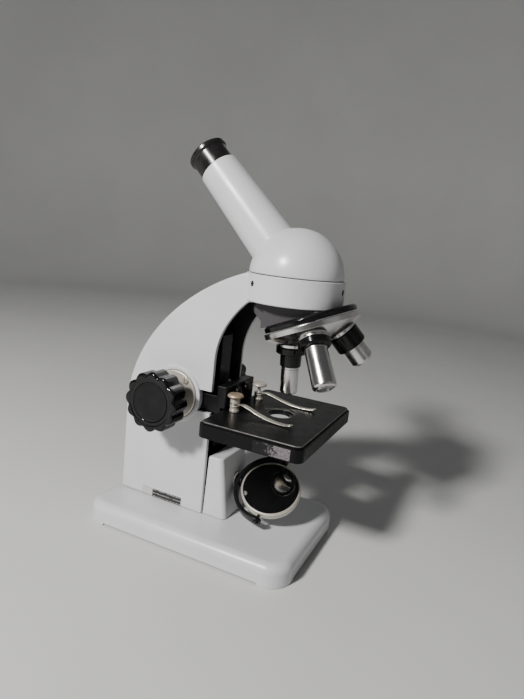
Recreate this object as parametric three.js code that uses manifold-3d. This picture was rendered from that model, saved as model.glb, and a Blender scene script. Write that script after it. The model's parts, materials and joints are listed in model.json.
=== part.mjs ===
// A school microscope with an inclined monocular head, a three-objective turret, a rack-focused
// stage with spring clips, and a double-sided mirror in a swivelling fork.
//
// Millimetres. +Z is up, +X is the stage side, and the near focus knob is on -Y. Positions along X are
// measured from the middle of the base. At the end the whole object is moved so that the origin is
// midway between its rearmost and foremost points, on the surface that it stands on.

import * as THREE from 'three';
import { mergeVertices } from 'three/addons/utils/BufferGeometryUtils.js';
import Module from 'manifold-3d';

// ---------------------------------------------------------------- driving dimensions

const GAP = 0.3; // between pieces that rest on each other
const FIT = 0.2; // radial clearance of a running fit
const RUN = 1; // how far a cutting tool runs past the face that it cuts
const PRESS = 0.05; // between pieces that are screwed or pressed together

const BASE = {
  length: 150.7,
  width: 100,
  top: 14.8,
  corner: 14.5,
  edge: 6,
  wall: 2.6,
  foot: 1.5,
  footReach: 17,
  footHeight: 4,
};
const BOLTS = [
  { name: 'arm_bolt_rear', x: -54, radius: 2.6 },
  { name: 'arm_bolt_front', x: -15, radius: 2.6 },
  { name: 'pillar_bolt', x: 8, radius: 2.1 },
];
const BOLT = { head: 4.6, headHeight: 3, reach: 5.9, slotWidth: 1.2, slotDepth: 1.4 };

const ARM = { rear: -67.6, front: 0.3, halfWidth: 20.8, wall: 2.6, floor: 4, bendZ: 78 };
// The spine leaves the straight back at bendZ and meets the collar at end. The other two are the
// points that its curve is pulled towards.
const SPINE = { low: [-67.6, 131], high: [-20.8, 168.3], end: [17, 181.2] };
// The front edge leaves the collar at start and runs straight down from end.
const THROAT = { start: [19.8, 163.1], high: [8, 152], low: [0.3, 138], end: [0.3, 122] };
const SLOT = { low: 86.5, high: 101.3, rear: -20 };
const AXIS_X = 41.75; // the optical axis is vertical, through the middle of the stage
const COLLAR = { radius: 31.1, bottom: 164.3, top: 181.2, bore: 24.6, floor: 3, lightHole: 9 };
const SET_SCREW = { radius: 1.6, height: 175.2, recess: 0.5, slotWidth: 0.6, slotDepth: 0.8 };
const SET_SCREWS = [
  { name: 'set_screw_front', angle: 0 },
  { name: 'set_screw_near', angle: -125 },
  { name: 'set_screw_far', angle: 125 },
];
const DOME = {
  radius: 29.8,
  wall: 2.8,
  spigot: 24.2,
  spigotWall: 2.6,
  spigotDepth: 11,
  groove: 0.9,
  grooveHalf: 1.7,
};
const TUBE = {
  tilt: 45,
  root: 24,
  shoulder: 25.3,
  start: 35,
  end: 87.8,
  rootRadius: 15.5,
  endRadius: 13.05,
  stub: 13.4,
  bore: 11.8,
};
const PRISM = { halfWidth: 8, half: 9, foot: -8, frontTop: -1, ridge: [-3, 11], rearTop: 5 };
const EYEPIECE = {
  barrel: 11.6,
  insert: 27.7,
  neck: 12.1,
  rimRadius: 13.3,
  rimLength: 3,
  tip: 102.6,
  bore: 9.6,
  stop: 7,
  stopDepth: 3,
  lensEdge: 2,
};
const PILLAR = { rear: 1, footFront: 18.5, topFront: 11.3, top: 56, footHalf: 19.5, topHalf: 17.5 };
const PAD = { radius: 5.2, back: 6, front: 15.6 };
const RAIL = { rear: -9, front: -2, halfWidth: 7, top: 137 };
const RAIL_FOOT = { rear: -22, halfWidth: 12, height: 5 };

const KNOB = {
  x: -26.7,
  z: 94.7,
  face: 50,
  radius: 19.6,
  lobes: 12,
  lobeDepth: 1.7,
  lobedLength: 15,
  back: 25.6,
  chamfer: 2.2,
};
const KNOB_COLLAR = { radius: 9.5, cap: 12.6, capDepth: 1.8 };
const BOSS = { radius: 19.3, height: 1.5 };
const BEARING = { radius: 16.4, face: 23.6, hub: 7.6, screwCircle: 14.2, screwAngles: [53.5, 233.5] };
const BEARING_SCREW = {
  shank: 1.2,
  head: 2.3,
  headHeight: 1.3,
  length: 5,
  slotWidth: 0.7,
  slotDepth: 0.7,
};
const SHAFT = { radius: 3, halfLength: 47 };
const PINION = { teeth: 12, module: 1, halfWidth: 5, pressure: 20, backlash: 0.15 };
const RACK = { teeth: 11, addendum: 0.7, dedendum: 1.3, halfWidth: 4.5, front: -15.2 };

const STAGE = {
  rear: 7.9,
  front: 76.35,
  halfWidth: 49.7,
  top: 91.3,
  bottom: 81.4,
  corner: 5.5,
  skin: 3,
  wall: 2.8,
  rimStep: 0.8,
  rimHeight: 1.7,
  hole: 9.6,
};
const APERTURE = { clear: 6.8, flat: 7.6, sink: 0.3, depth: 1.2 };
const CARRIER = { rear: -14.9, plateRear: 4, lipFront: 11, halfWidth: 20.2, top: 106.5, bottom: 82 };
const CHEEK = { inner: 13.6, outer: 17.4, low: 86, high: 98.5 };
const CARRIER_BACK = { low: 84, high: 110.5 };
const STAGE_SCREW = { y: 6.3, z: 101.8, head: 3.2, headFront: 14.6, shank: 1.6, chamfer: 1.2 };

const CLIP = {
  x: 16.8,
  y: 18.1,
  postRadius: 3.25,
  postTop: 95.5,
  pin: 1.6,
  pinDepth: 4,
  stem: 1.1,
  stemTop: 6.3,
  width: 4,
  thickness: 0.8,
  level: 1.1,
};
const CLIP_LEAF = [
  [2.4, 0],
  [6.5, 0.5],
  [11, -0.4],
  [18, -2.4],
  [26, -4],
  [34, -4.4],
  [39.5, -4],
  [43, -2.9],
];
// The near clip was left with its head screwed down on a sleeve, the far one with its head up.
const CLIP_HEADS = {
  near: { splay: 7, sleeve: 3.25, sleeveFoot: 1.8, underside: 5 },
  far: { splay: 1.4, sleeve: 2, sleeveFoot: 5.2, underside: 5.4 },
};
const CLIP_CROWN = { radius: 5.3, bore: 1.25, height: 3.2 };

// Distances along an objective are measured from the apex, where the axes of all three meet.
const TURRET = {
  tilt: 23.5,
  apex: 185,
  drop: 33.6,
  radius: 30.8,
  band: 3.4,
  depth: 14,
  wall: 1.8,
  hub: 6,
  bolt: 2.9,
  boltHead: 5.4,
};
const TURRET_REST = 13.8; // degrees past the click stop
const PLATE = { low: 0.6, high: 4.4, radius: 29.7, bore: 3.2, bevel: 1.2 };
const THREAD = { radius: 7.6, start: 43, bossEnd: 48.6, boss: 9.6, light: 4 };
const FLANGE = { radius: 10.1, start: 48.9 };
const OBJECTIVES = [
  {
    name: 'low',
    flangeEnd: 53.2,
    neckRadius: 6.9,
    neckEnd: 62.2,
    radius: 5.85,
    tip: 80.7,
    tipRadius: 5.85,
  },
  {
    name: 'high',
    flangeEnd: 52,
    neckRadius: 9.7,
    neckEnd: 53.2,
    radius: 6.9,
    tip: 79.4,
    tipRadius: 7.3,
  },
  {
    name: 'medium',
    flangeEnd: 58.6,
    neckRadius: 9.7,
    neckEnd: 59.6,
    radius: 7.6,
    tip: 72.2,
    tipRadius: 7.6,
  },
];
const LENS = { hole: 3.6, seat: 4.4, chamfer: 1.6, inset: 1, depth: 4 };
// The wedge between the collar and the fixed plate. Its rear face is drawn in X and Z.
const WEDGE = { rear: 20, front: 74, halfWidth: 21, corner: 12, foot: 125, throatX: 31 };
const WEDGE_REAR = [[0, 120], [31, 120], [28.5, 152.5], [19, 161.3], [19, 170], [0, 170]];

const MIRROR = {
  x: 41.5,
  z: 36.6,
  radius: 20.3,
  depth: 5.6,
  chamfer: 0.5,
  web: 0.5,
  lip: 0.9,
  glass: 18.8,
  glassThickness: 1.6,
  dish: 0.6,
};
const MIRROR_REST = { swivel: 34, tilt: 6 }; // degrees
const FORK = { inner: 22.7, outer: 25.3, halfDepth: 3.6, lug: 3 };
const PIN = { radius: 2, start: 4.5, shoulder: 15.7, shoulderRadius: 4.4, head: 3.6, headHeight: 1.6 };
const PIVOT = { radius: 1, head: 1.9, sink: 0.8, headHeight: 1.3 };

const FINE = 28; // segments round large turned parts
const MEDIUM = 18;
const COARSE = 8; // segments round small turned parts

const PAINT = new THREE.MeshStandardMaterial({ color: 0xcdced2, roughness: 0.45, metalness: 0.05 });
const BLACK_PAINT = new THREE.MeshStandardMaterial({ color: 0x1b1b1d, roughness: 0.5, metalness: 0.1 });
const GLOSS_BLACK = new THREE.MeshStandardMaterial({ color: 0x0b0b0d, roughness: 0.12, metalness: 0 });
const MATTE_BLACK = new THREE.MeshStandardMaterial({ color: 0x2b2b2c, roughness: 0.75, metalness: 0 });
const CHROME = new THREE.MeshStandardMaterial({ color: 0xd8dadd, roughness: 0.08, metalness: 1 });
const NICKEL = new THREE.MeshStandardMaterial({ color: 0xcfc8bd, roughness: 0.28, metalness: 1 });
const STEEL = new THREE.MeshStandardMaterial({ color: 0x9a9ca0, roughness: 0.3, metalness: 1 });
const BRASS = new THREE.MeshStandardMaterial({ color: 0xb98d52, roughness: 0.32, metalness: 1 });
const GLASS = new THREE.MeshStandardMaterial({ color: 0xdfe8ea, roughness: 0.03, metalness: 0 });
const MIRROR_GLASS = new THREE.MeshStandardMaterial({ color: 0xe6e9ec, roughness: 0.02, metalness: 1 });

// ---------------------------------------------------------------- solids from three.js geometries

const wasm = await Module();
wasm.setup();

const radians = THREE.MathUtils.degToRad;

// The solid inside a closed geometry. Triangles that shrink to a line at a pole are dropped.
function solid(geometry) {
  const bare = geometry.clone();
  bare.deleteAttribute('normal');
  bare.deleteAttribute('uv');
  const welded = mergeVertices(bare, 1e-4);
  const index = welded.index.array;
  const triangles = [];
  for (let i = 0; i < index.length; i += 3) {
    const [a, b, c] = index.slice(i, i + 3);
    if (a !== b && b !== c && c !== a) {
      triangles.push(a, b, c);
    }
  }
  return new wasm.Manifold(
    new wasm.Mesh({
      numProp: 3,
      vertProperties: new Float32Array(welded.attributes.position.array),
      triVerts: new Uint32Array(triangles),
    }),
  );
}

function geometryOf(body) {
  const mesh = body.getMesh();
  const geometry = new THREE.BufferGeometry();
  geometry.setAttribute('position', new THREE.BufferAttribute(mesh.vertProperties, 3));
  geometry.setIndex(new THREE.BufferAttribute(mesh.triVerts, 1));
  geometry.computeVertexNormals();
  return geometry;
}

// A box between two opposite corners.
function block([x0, x1], [y0, y1], [z0, z1]) {
  const geometry = new THREE.BoxGeometry(x1 - x0, y1 - y0, z1 - z0);
  return solid(geometry.translate((x0 + x1) / 2, (y0 + y1) / 2, (z0 + z1) / 2));
}

// A solid of revolution about Z from [radius, height] points, listed anticlockwise with the radius to
// the right. Points that start or end off the axis are closed back to the first one.
function turned(points, segments = MEDIUM) {
  const outline = points.map(([radius, height]) => new THREE.Vector2(radius, height));
  if (points[0][0] > 0) {
    outline.push(outline[0].clone());
  }
  return solid(new THREE.LatheGeometry(outline, segments).rotateX(Math.PI / 2));
}

// A plain round bar along Z.
function bar(radius, [low, high], segments = MEDIUM) {
  return turned([[0, low], [radius, low], [radius, high], [0, high]], segments);
}

// A ring along Z.
function ring(inner, outer, [low, high], segments = MEDIUM) {
  return turned([[inner, low], [outer, low], [outer, high], [inner, high]], segments);
}

// Turns a Z-axis solid so that its axis lies along Y or X.
const alongY = (body) => body.rotate([90, 0, 0]);
const alongX = (body) => body.rotate([0, 90, 0]);

// A flat shape drawn in X and Y, made solid between two heights.
function slab(shape, [low, high], curveSegments = 8) {
  const settings = { depth: high - low, bevelEnabled: false, curveSegments };
  const geometry = new THREE.ExtrudeGeometry(shape, settings);
  return solid(geometry.translate(0, 0, low));
}

// A flat shape drawn in X and Z, made solid between two Y values.
function sideSlab(shape, [low, high], curveSegments = 8) {
  const settings = { depth: high - low, bevelEnabled: false, curveSegments };
  const geometry = new THREE.ExtrudeGeometry(shape, settings);
  return solid(geometry.rotateX(Math.PI / 2).translate(0, high, 0));
}

function roundedRectangle([x0, x1], [y0, y1], corner) {
  const shape = new THREE.Shape();
  shape.moveTo(x0 + corner, y0);
  shape.lineTo(x1 - corner, y0);
  shape.absarc(x1 - corner, y0 + corner, corner, -Math.PI / 2, 0);
  shape.lineTo(x1, y1 - corner);
  shape.absarc(x1 - corner, y1 - corner, corner, 0, Math.PI / 2);
  shape.lineTo(x0 + corner, y1);
  shape.absarc(x0 + corner, y1 - corner, corner, Math.PI / 2, Math.PI);
  shape.lineTo(x0, y0 + corner);
  shape.absarc(x0 + corner, y0 + corner, corner, Math.PI, 1.5 * Math.PI);
  return shape;
}

function polygon(points) {
  return new THREE.Shape(points.map(([x, y]) => new THREE.Vector2(x, y)));
}

// The hole that a bolt passes through on its way up from the base.
function boltHole({ x, radius }, [low, high]) {
  return bar(radius + FIT, [low, high], COARSE).translate([x, 0, 0]);
}

// ---------------------------------------------------------------- the scene graph

const microscope = new THREE.Group();

function piece(name, body, material, parent = microscope) {
  const mesh = new THREE.Mesh(geometryOf(body), material.clone());
  mesh.name = name;
  parent.add(mesh);
  return mesh;
}

// The middle of the turret's rim.
function turretPlace() {
  const tilt = radians(TURRET.tilt);
  return [AXIS_X + TURRET.drop * Math.sin(tilt), 0, TURRET.apex - TURRET.drop * Math.cos(tilt)];
}

function onTurret(body) {
  return body.rotate([0, -TURRET.tilt, 0]).translate(turretPlace());
}

function placed(parent, position, rotation = [0, 0, 0]) {
  const group = new THREE.Group();
  group.position.set(...position);
  group.rotation.set(...rotation.map(radians));
  parent.add(group);
  return group;
}

const SIDES = [
  { name: 'near', sign: -1 },
  { name: 'far', sign: 1 },
];

// ---------------------------------------------------------------- base

function baseShell() {
  const halfLength = BASE.length / 2;
  const halfWidth = BASE.width / 2;
  const inset = BASE.edge;
  const outline = roundedRectangle(
    [inset - halfLength, halfLength - inset],
    [inset - halfWidth, halfWidth - inset],
    BASE.corner - inset,
  );
  const rounded = new THREE.ExtrudeGeometry(outline, {
    depth: BASE.top,
    bevelThickness: inset,
    bevelSize: inset,
    bevelSegments: 3,
    curveSegments: 4,
  });
  const top = BASE.top - inset;
  let body = solid(rounded.translate(0, 0, top - BASE.top));
  body = body.intersect(block([-halfLength, halfLength], [-halfWidth, halfWidth], [0, BASE.top + RUN]));
  const wall = BASE.wall;
  const hollow = roundedRectangle(
    [wall - halfLength, halfLength - wall],
    [wall - halfWidth, halfWidth - wall],
    BASE.corner - wall,
  );
  body = body.subtract(slab(hollow, [-RUN, BASE.top - BASE.edge], 3));
  const ceiling = roundedRectangle(
    [BASE.edge - halfLength, halfLength - BASE.edge],
    [BASE.edge - halfWidth, halfWidth - BASE.edge],
    BASE.corner - BASE.edge,
  );
  body = body.subtract(slab(ceiling, [BASE.foot, BASE.top - wall], 3));
  const footprint = roundedRectangle([-halfLength, halfLength], [-halfWidth, halfWidth], BASE.corner);
  const inner = [halfLength - BASE.footReach, halfWidth - BASE.footReach];
  const cross = block([-inner[0], inner[0]], [-BASE.width, BASE.width], [-RUN, BASE.footHeight + RUN])
    .add(block([-BASE.length, BASE.length], [-inner[1], inner[1]], [-RUN, BASE.footHeight + RUN]));
  body = body.add(slab(footprint, [0, BASE.footHeight], 4).subtract(cross));
  const longGap = halfLength - BASE.footReach;
  const shortGap = halfWidth - BASE.footReach;
  body = body.subtract(block([-longGap, longGap], [-BASE.width, BASE.width], [-RUN, BASE.foot]));
  body = body.subtract(block([-BASE.length, BASE.length], [-shortGap, shortGap], [-RUN, BASE.foot]));
  for (const bolt of BOLTS) {
    body = body.subtract(boltHole(bolt, [0, BASE.top + RUN]));
  }
  return body;
}

function bolts() {
  const seat = BASE.top - BASE.wall - GAP;
  const underside = seat - BOLT.headHeight;
  const half = BOLT.slotWidth / 2;
  const slotTop = underside + BOLT.slotDepth;
  const slot = block([-BOLT.head, BOLT.head], [-half, half], [underside - RUN, slotTop]);
  for (const { name, x, radius } of BOLTS) {
    const body = bar(BOLT.head, [underside, seat], COARSE)
      .add(bar(radius, [seat - RUN, BASE.top + BOLT.reach], COARSE))
      .subtract(slot);
    piece(name, body.translate([x, 0, 0]), STEEL);
  }
}

piece('base_shell', baseShell(), PAINT);
bolts();

// ---------------------------------------------------------------- arm with the head's collar

// The arm's outer edge: straight up the back, then one long curve forward to the collar. An inset
// draws the inside of the wall.
function armOutline(inset) {
  const floor = BASE.top + GAP + (inset > 0 ? ARM.floor : 0);
  const shape = new THREE.Shape();
  shape.moveTo(ARM.rear + inset, floor);
  shape.lineTo(ARM.rear + inset, ARM.bendZ);
  shape.bezierCurveTo(
    SPINE.low[0] + inset,
    SPINE.low[1] - inset,
    SPINE.high[0] + inset,
    SPINE.high[1] - inset,
    SPINE.end[0] + inset,
    SPINE.end[1] - inset,
  );
  return shape;
}

function armCasting() {
  const outer = armOutline(0);
  const underCollar = COLLAR.bore + RUN;
  outer.lineTo(underCollar, COLLAR.top);
  outer.lineTo(underCollar, COLLAR.bottom);
  outer.lineTo(...THROAT.start);
  outer.bezierCurveTo(...THROAT.high, ...THROAT.low, ...THROAT.end);
  outer.lineTo(THROAT.end[0], BASE.top + GAP);
  const channel = armOutline(ARM.wall);
  channel.lineTo(AXIS_X, COLLAR.top - ARM.wall);
  channel.lineTo(AXIS_X, BASE.top + GAP + ARM.floor);

  const half = ARM.halfWidth;
  let body = sideSlab(outer, [-half, half], 10);
  body = body.subtract(sideSlab(channel, [ARM.wall - half, half - ARM.wall], 10));

  const collar = bar(COLLAR.radius, [COLLAR.bottom, COLLAR.top], FINE).translate([AXIS_X, 0, 0]);
  body = body.add(collar);
  const cup = bar(COLLAR.bore, [COLLAR.bottom + COLLAR.floor, COLLAR.top + RUN], FINE);
  const light = bar(COLLAR.lightHole, [COLLAR.bottom - RUN, COLLAR.top], COARSE);
  body = body.subtract(cup.add(light).translate([AXIS_X, 0, 0]));
  body = body.subtract(turretRelief());

  for (const { sign } of SIDES) {
    const slot = block([SLOT.rear, ARM.front + RUN], [-ARM.wall, ARM.wall], [SLOT.low, SLOT.high]);
    const kept = alongY(bar(BOSS.radius, [-2 * ARM.wall, 2 * ARM.wall], FINE));
    const cut = slot.subtract(kept.translate([KNOB.x, 0, KNOB.z]));
    body = body.subtract(cut.translate([0, sign * half, 0]));
    const boss = alongY(bar(BOSS.radius, [-BOSS.height, BOSS.height], FINE));
    body = body.add(boss.translate([KNOB.x, sign * half, KNOB.z]));
    const recess = alongY(bar(BEARING.radius + GAP, [0, 2 * BOSS.height], FINE));
    const recessMiddle = sign < 0 ? -half : half + 2 * BOSS.height;
    body = body.subtract(recess.translate([KNOB.x, recessMiddle, KNOB.z]));
  }
  const bearingHole = alongY(bar(BEARING.hub + FIT, [-2 * half, 2 * half], MEDIUM));
  body = body.subtract(bearingHole.translate([KNOB.x, 0, KNOB.z]));
  for (const bolt of BOLTS.slice(0, 2)) {
    body = body.subtract(boltHole(bolt, [BASE.top, BASE.top + BOLT.reach + GAP]));
  }
  const drill = bar(SET_SCREW.radius + FIT, [COLLAR.bore - RUN, COLLAR.radius + RUN], COARSE);
  for (const { angle } of SET_SCREWS) {
    body = body.subtract(onCollar(drill, angle));
  }
  for (const { x, z, y } of bearingScrewPlaces()) {
    const hole = alongY(bar(BEARING_SCREW.shank + FIT, [-2 * ARM.wall, 2 * ARM.wall], COARSE));
    body = body.subtract(hole.translate([x, Math.sign(y) * half, z]));
  }
  return body;
}

// A Z-axis solid laid along a radius of the collar at the set screws' height.
function onCollar(body, angle) {
  return alongX(body).rotate([0, 0, angle]).translate([AXIS_X, 0, SET_SCREW.height]);
}

// The flat seat of the turret's fixed plate, machined into the underside of the collar.
function turretRelief() {
  return onTurret(bar(PLATE.radius + 2 * GAP, [-TURRET.depth, PLATE.high + GAP], FINE));
}

function bearingScrewPlaces() {
  const places = [];
  for (const { name, sign } of SIDES) {
    BEARING.screwAngles.forEach((angle, i) => {
      places.push({
        name: `bearing_screw_${name}_${i + 1}`,
        x: KNOB.x + BEARING.screwCircle * Math.cos(radians(angle)),
        z: KNOB.z + BEARING.screwCircle * Math.sin(radians(angle)),
        y: sign * BEARING.face,
      });
    });
  }
  return places;
}

piece('arm_casting', armCasting(), PAINT);

for (const { name, angle } of SET_SCREWS) {
  const inner = DOME.spigot + GAP;
  const outer = COLLAR.radius - SET_SCREW.recess;
  const half = SET_SCREW.slotWidth / 2;
  const reach = SET_SCREW.radius + RUN;
  const slot = block([-half, half], [-reach, reach], [outer - SET_SCREW.slotDepth, outer + RUN]);
  piece(name, onCollar(bar(SET_SCREW.radius, [inner, outer], COARSE).subtract(slot), angle), STEEL);
}

// ---------------------------------------------------------------- mirror pillar and guide rail

function pillar() {
  const base = BASE.top + GAP;
  const side = polygon([
    [PILLAR.rear, base],
    [PILLAR.footFront, base],
    [PILLAR.topFront, PILLAR.top],
    [PILLAR.rear, PILLAR.top],
  ]);
  const front = polygon([
    [-PILLAR.footHalf, base],
    [PILLAR.footHalf, base],
    [PILLAR.topHalf, PILLAR.top],
    [-PILLAR.topHalf, PILLAR.top],
  ]);
  const width = 2 * PILLAR.footHalf;
  const depth = PILLAR.footFront + RUN;
  const acrossX = new THREE.ExtrudeGeometry(front, { depth, bevelEnabled: false });
  acrossX.rotateX(Math.PI / 2).rotateZ(Math.PI / 2);
  let body = sideSlab(side, [-width / 2, width / 2]).intersect(solid(acrossX));
  body = body.add(alongX(bar(PAD.radius, [PAD.back, PAD.front], COARSE)).translate([0, 0, MIRROR.z]));
  const pinHole = alongX(bar(PIN.radius + FIT, [PIN.start - GAP, PILLAR.footFront], COARSE));
  body = body.subtract(pinHole.translate([0, 0, MIRROR.z]));
  return body.subtract(boltHole(BOLTS[2], [BASE.top, BASE.top + BOLT.reach + GAP]));
}

piece('mirror_pillar', pillar(), PAINT);

function guideRail() {
  const low = BASE.top + 2 * GAP + ARM.floor;
  const foot = block(
    [RAIL_FOOT.rear, RAIL.front],
    [-RAIL_FOOT.halfWidth, RAIL_FOOT.halfWidth],
    [low, low + RAIL_FOOT.height],
  );
  return block([RAIL.rear, RAIL.front], [-RAIL.halfWidth, RAIL.halfWidth], [low, RAIL.top])
    .add(foot)
    .subtract(boltHole(BOLTS[1], [low - RUN, BASE.top + BOLT.reach + GAP]));
}

piece('guide_rail', guideRail(), STEEL);

// ---------------------------------------------------------------- focusing drive

function bearingPlate() {
  const seat = ARM.halfWidth + PRESS;
  const hubEnd = ARM.halfWidth - ARM.wall - 2;
  let plate = turned(
    [
      [SHAFT.radius + FIT, hubEnd],
      [BEARING.hub, hubEnd],
      [BEARING.hub, seat],
      [BEARING.radius, seat],
      [BEARING.radius, BEARING.face],
      [SHAFT.radius + FIT, BEARING.face],
    ],
    FINE,
  );
  for (const angle of BEARING.screwAngles) {
    const hole = bar(BEARING_SCREW.shank + FIT, [0, 2 * BEARING.face], COARSE);
    plate = plate.subtract(hole.translate([BEARING.screwCircle, 0, 0]).rotate([0, 0, angle]));
  }
  return plate;
}

// The knob's rim: twelve round lobes with a sharp dip between each two.
function knobOutline() {
  const shape = new THREE.Shape();
  const steps = KNOB.lobes * 4;
  for (let i = 0; i < steps; i += 1) {
    const angle = (2 * Math.PI * i) / steps;
    const dip = KNOB.lobeDepth * (1 - Math.abs(Math.cos((KNOB.lobes * angle) / 2)) ** 0.8);
    const radius = KNOB.radius - dip;
    const point = [radius * Math.cos(angle), radius * Math.sin(angle)];
    if (i === 0) {
      shape.moveTo(...point);
    } else {
      shape.lineTo(...point);
    }
  }
  return shape;
}

function knob() {
  const back = KNOB.face - KNOB.lobedLength;
  const edge = KNOB.radius - KNOB.chamfer;
  const envelope = turned([
    [0, back],
    [edge, back],
    [KNOB.radius + FIT, back + KNOB.chamfer],
    [KNOB.radius + FIT, KNOB.face - KNOB.chamfer],
    [edge, KNOB.face],
    [0, KNOB.face],
  ]);
  const collar = bar(KNOB_COLLAR.radius, [KNOB.back, KNOB.face - KNOB.chamfer]);
  const capSeat = KNOB.face - KNOB_COLLAR.capDepth - GAP;
  const recess = bar(KNOB_COLLAR.cap + FIT, [capSeat, KNOB.face + RUN]);
  const socket = bar(SHAFT.radius + PRESS, [KNOB.back - RUN, SHAFT.halfLength + GAP], COARSE);
  const lobed = slab(knobOutline(), [back, KNOB.face]).intersect(envelope);
  return lobed.add(collar).subtract(recess).subtract(socket);
}

// Laid along Y with its far end outwards on one side or the other.
function outwards(body, sign) {
  return alongY(sign < 0 ? body : body.mirror([0, 0, 1]));
}

for (const { name, sign } of SIDES) {
  const onShaft = (body) => outwards(body, sign).translate([KNOB.x, 0, KNOB.z]);
  const cap = bar(KNOB_COLLAR.cap, [KNOB.face - KNOB_COLLAR.capDepth, KNOB.face - 2 * PRESS]);
  piece(`bearing_plate_${name}`, onShaft(bearingPlate()), NICKEL);
  piece(`focus_knob_${name}`, onShaft(knob()), GLOSS_BLACK);
  piece(`knob_cap_${name}`, onShaft(cap), MATTE_BLACK);
}

for (const { name, x, y, z } of bearingScrewPlaces()) {
  const head = bar(BEARING_SCREW.head, [PRESS, BEARING_SCREW.headHeight], COARSE);
  const shank = bar(BEARING_SCREW.shank, [-BEARING_SCREW.length, BEARING_SCREW.headHeight / 2], COARSE);
  const half = BEARING_SCREW.slotWidth / 2;
  const floor = BEARING_SCREW.headHeight - BEARING_SCREW.slotDepth;
  const slot = block([-BEARING_SCREW.head, BEARING_SCREW.head], [-half, half], [floor, floor + RUN]);
  const screw = head.add(shank).subtract(slot.rotate([0, 0, 25]));
  piece(name, outwards(screw, Math.sign(y)).translate([x, y, z]), NICKEL);
}

piece(
  'pinion_shaft',
  alongY(bar(SHAFT.radius, [-SHAFT.halfLength, SHAFT.halfLength], COARSE)).translate([KNOB.x, 0, KNOB.z]),
  STEEL,
);

const involute = (angle) => Math.tan(angle) - angle;

// Half the angle that a tooth fills at a radius, with involute flanks and radial roots.
function toothHalfAngle(radius) {
  const pitch = (PINION.teeth * PINION.module) / 2;
  const pressure = radians(PINION.pressure);
  const baseRadius = pitch * Math.cos(pressure);
  const here = radius > baseRadius ? Math.acos(baseRadius / radius) : 0;
  const thinning = PINION.backlash / pitch;
  return Math.PI / (2 * PINION.teeth) + involute(pressure) - involute(here) - thinning;
}

function pinion() {
  const pitch = (PINION.teeth * PINION.module) / 2;
  const root = pitch - 1.2 * PINION.module;
  const tip = pitch + PINION.module;
  const radii = [root, pitch - 0.4, pitch, pitch + 0.5, tip];
  const points = [];
  for (let tooth = 0; tooth < PINION.teeth; tooth += 1) {
    const middle = (2 * Math.PI * (tooth + 0.5)) / PINION.teeth;
    const flank = radii.map((radius) => [radius, toothHalfAngle(radius)]);
    const whole = [
      ...flank.map(([radius, half]) => [radius, middle - half]),
      ...flank.reverse().map(([radius, half]) => [radius, middle + half]),
    ];
    whole.forEach(([radius, angle]) => points.push([radius * Math.cos(angle), radius * Math.sin(angle)]));
  }
  const gear = sideSlab(polygon(points), [-PINION.halfWidth, PINION.halfWidth]);
  const bore = alongY(bar(SHAFT.radius + PRESS, [-2 * PINION.halfWidth, 2 * PINION.halfWidth], COARSE));
  return gear.subtract(bore).translate([KNOB.x, 0, KNOB.z]);
}

piece('pinion_gear', pinion(), BRASS);

// ---------------------------------------------------------------- stage

// Teeth face the pinion. The middle tooth is level with the shaft.
function rack() {
  const pitchLine = KNOB.x + (PINION.teeth * PINION.module) / 2;
  const pitch = Math.PI * PINION.module;
  const slope = Math.tan(radians(PINION.pressure));
  const half = pitch / 4 - PINION.backlash;
  const tipX = pitchLine - RACK.addendum;
  const rootX = pitchLine + RACK.dedendum;
  const low = KNOB.z - (RACK.teeth / 2) * pitch;
  const points = [[RACK.front, low]];
  points.push([RACK.front, KNOB.z + (RACK.teeth / 2) * pitch]);
  for (let tooth = RACK.teeth - 1; tooth >= 0; tooth -= 1) {
    const middle = low + (tooth + 0.5) * pitch;
    const rootHalf = half + RACK.dedendum * slope;
    const tipHalf = half - RACK.addendum * slope;
    points.push([rootX, middle + rootHalf], [tipX, middle + tipHalf]);
    points.push([tipX, middle - tipHalf], [rootX, middle - rootHalf]);
  }
  return sideSlab(polygon(points.reverse()), [-RACK.halfWidth, RACK.halfWidth]);
}

piece('rack', rack(), BRASS);

function carrier() {
  const across = [-CARRIER.halfWidth, CARRIER.halfWidth];
  const plateFront = STAGE.rear - GAP;
  const lipFoot = STAGE.top + GAP;
  let body = block([CARRIER.plateRear, plateFront], across, [CARRIER.bottom, CARRIER.top])
    .add(block([CARRIER.plateRear, CARRIER.lipFront], across, [lipFoot, CARRIER.top]))
    .add(
      block(
        [CARRIER.rear, RAIL.rear - GAP],
        [-CHEEK.outer, CHEEK.outer],
        [CARRIER_BACK.low, CARRIER_BACK.high],
      ),
    );
  const drill = [CARRIER.plateRear - RUN, CARRIER.lipFront + RUN];
  for (const { sign } of SIDES) {
    const side = sign < 0 ? [-CHEEK.outer, -CHEEK.inner] : [CHEEK.inner, CHEEK.outer];
    body = body.add(block([CARRIER.rear, CARRIER.plateRear + RUN], side, [CHEEK.low, CHEEK.high]));
    const hole = alongX(bar(STAGE_SCREW.shank + FIT, drill, COARSE));
    body = body.subtract(hole.translate([0, sign * STAGE_SCREW.y, STAGE_SCREW.z]));
  }
  return body;
}

piece('stage_carrier', carrier(), BLACK_PAINT);

for (const { name, sign } of SIDES) {
  const screw = alongX(
    turned(
      [
        [0, CARRIER.plateRear + GAP],
        [STAGE_SCREW.shank, CARRIER.plateRear + GAP],
        [STAGE_SCREW.shank, CARRIER.lipFront + GAP],
        [STAGE_SCREW.head, CARRIER.lipFront + GAP],
        [STAGE_SCREW.head, STAGE_SCREW.headFront - STAGE_SCREW.chamfer],
        [STAGE_SCREW.head - STAGE_SCREW.chamfer, STAGE_SCREW.headFront],
        [0, STAGE_SCREW.headFront],
      ],
      COARSE,
    ),
  );
  piece(`stage_screw_${name}`, screw.translate([0, sign * STAGE_SCREW.y, STAGE_SCREW.z]), GLOSS_BLACK);
}

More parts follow.
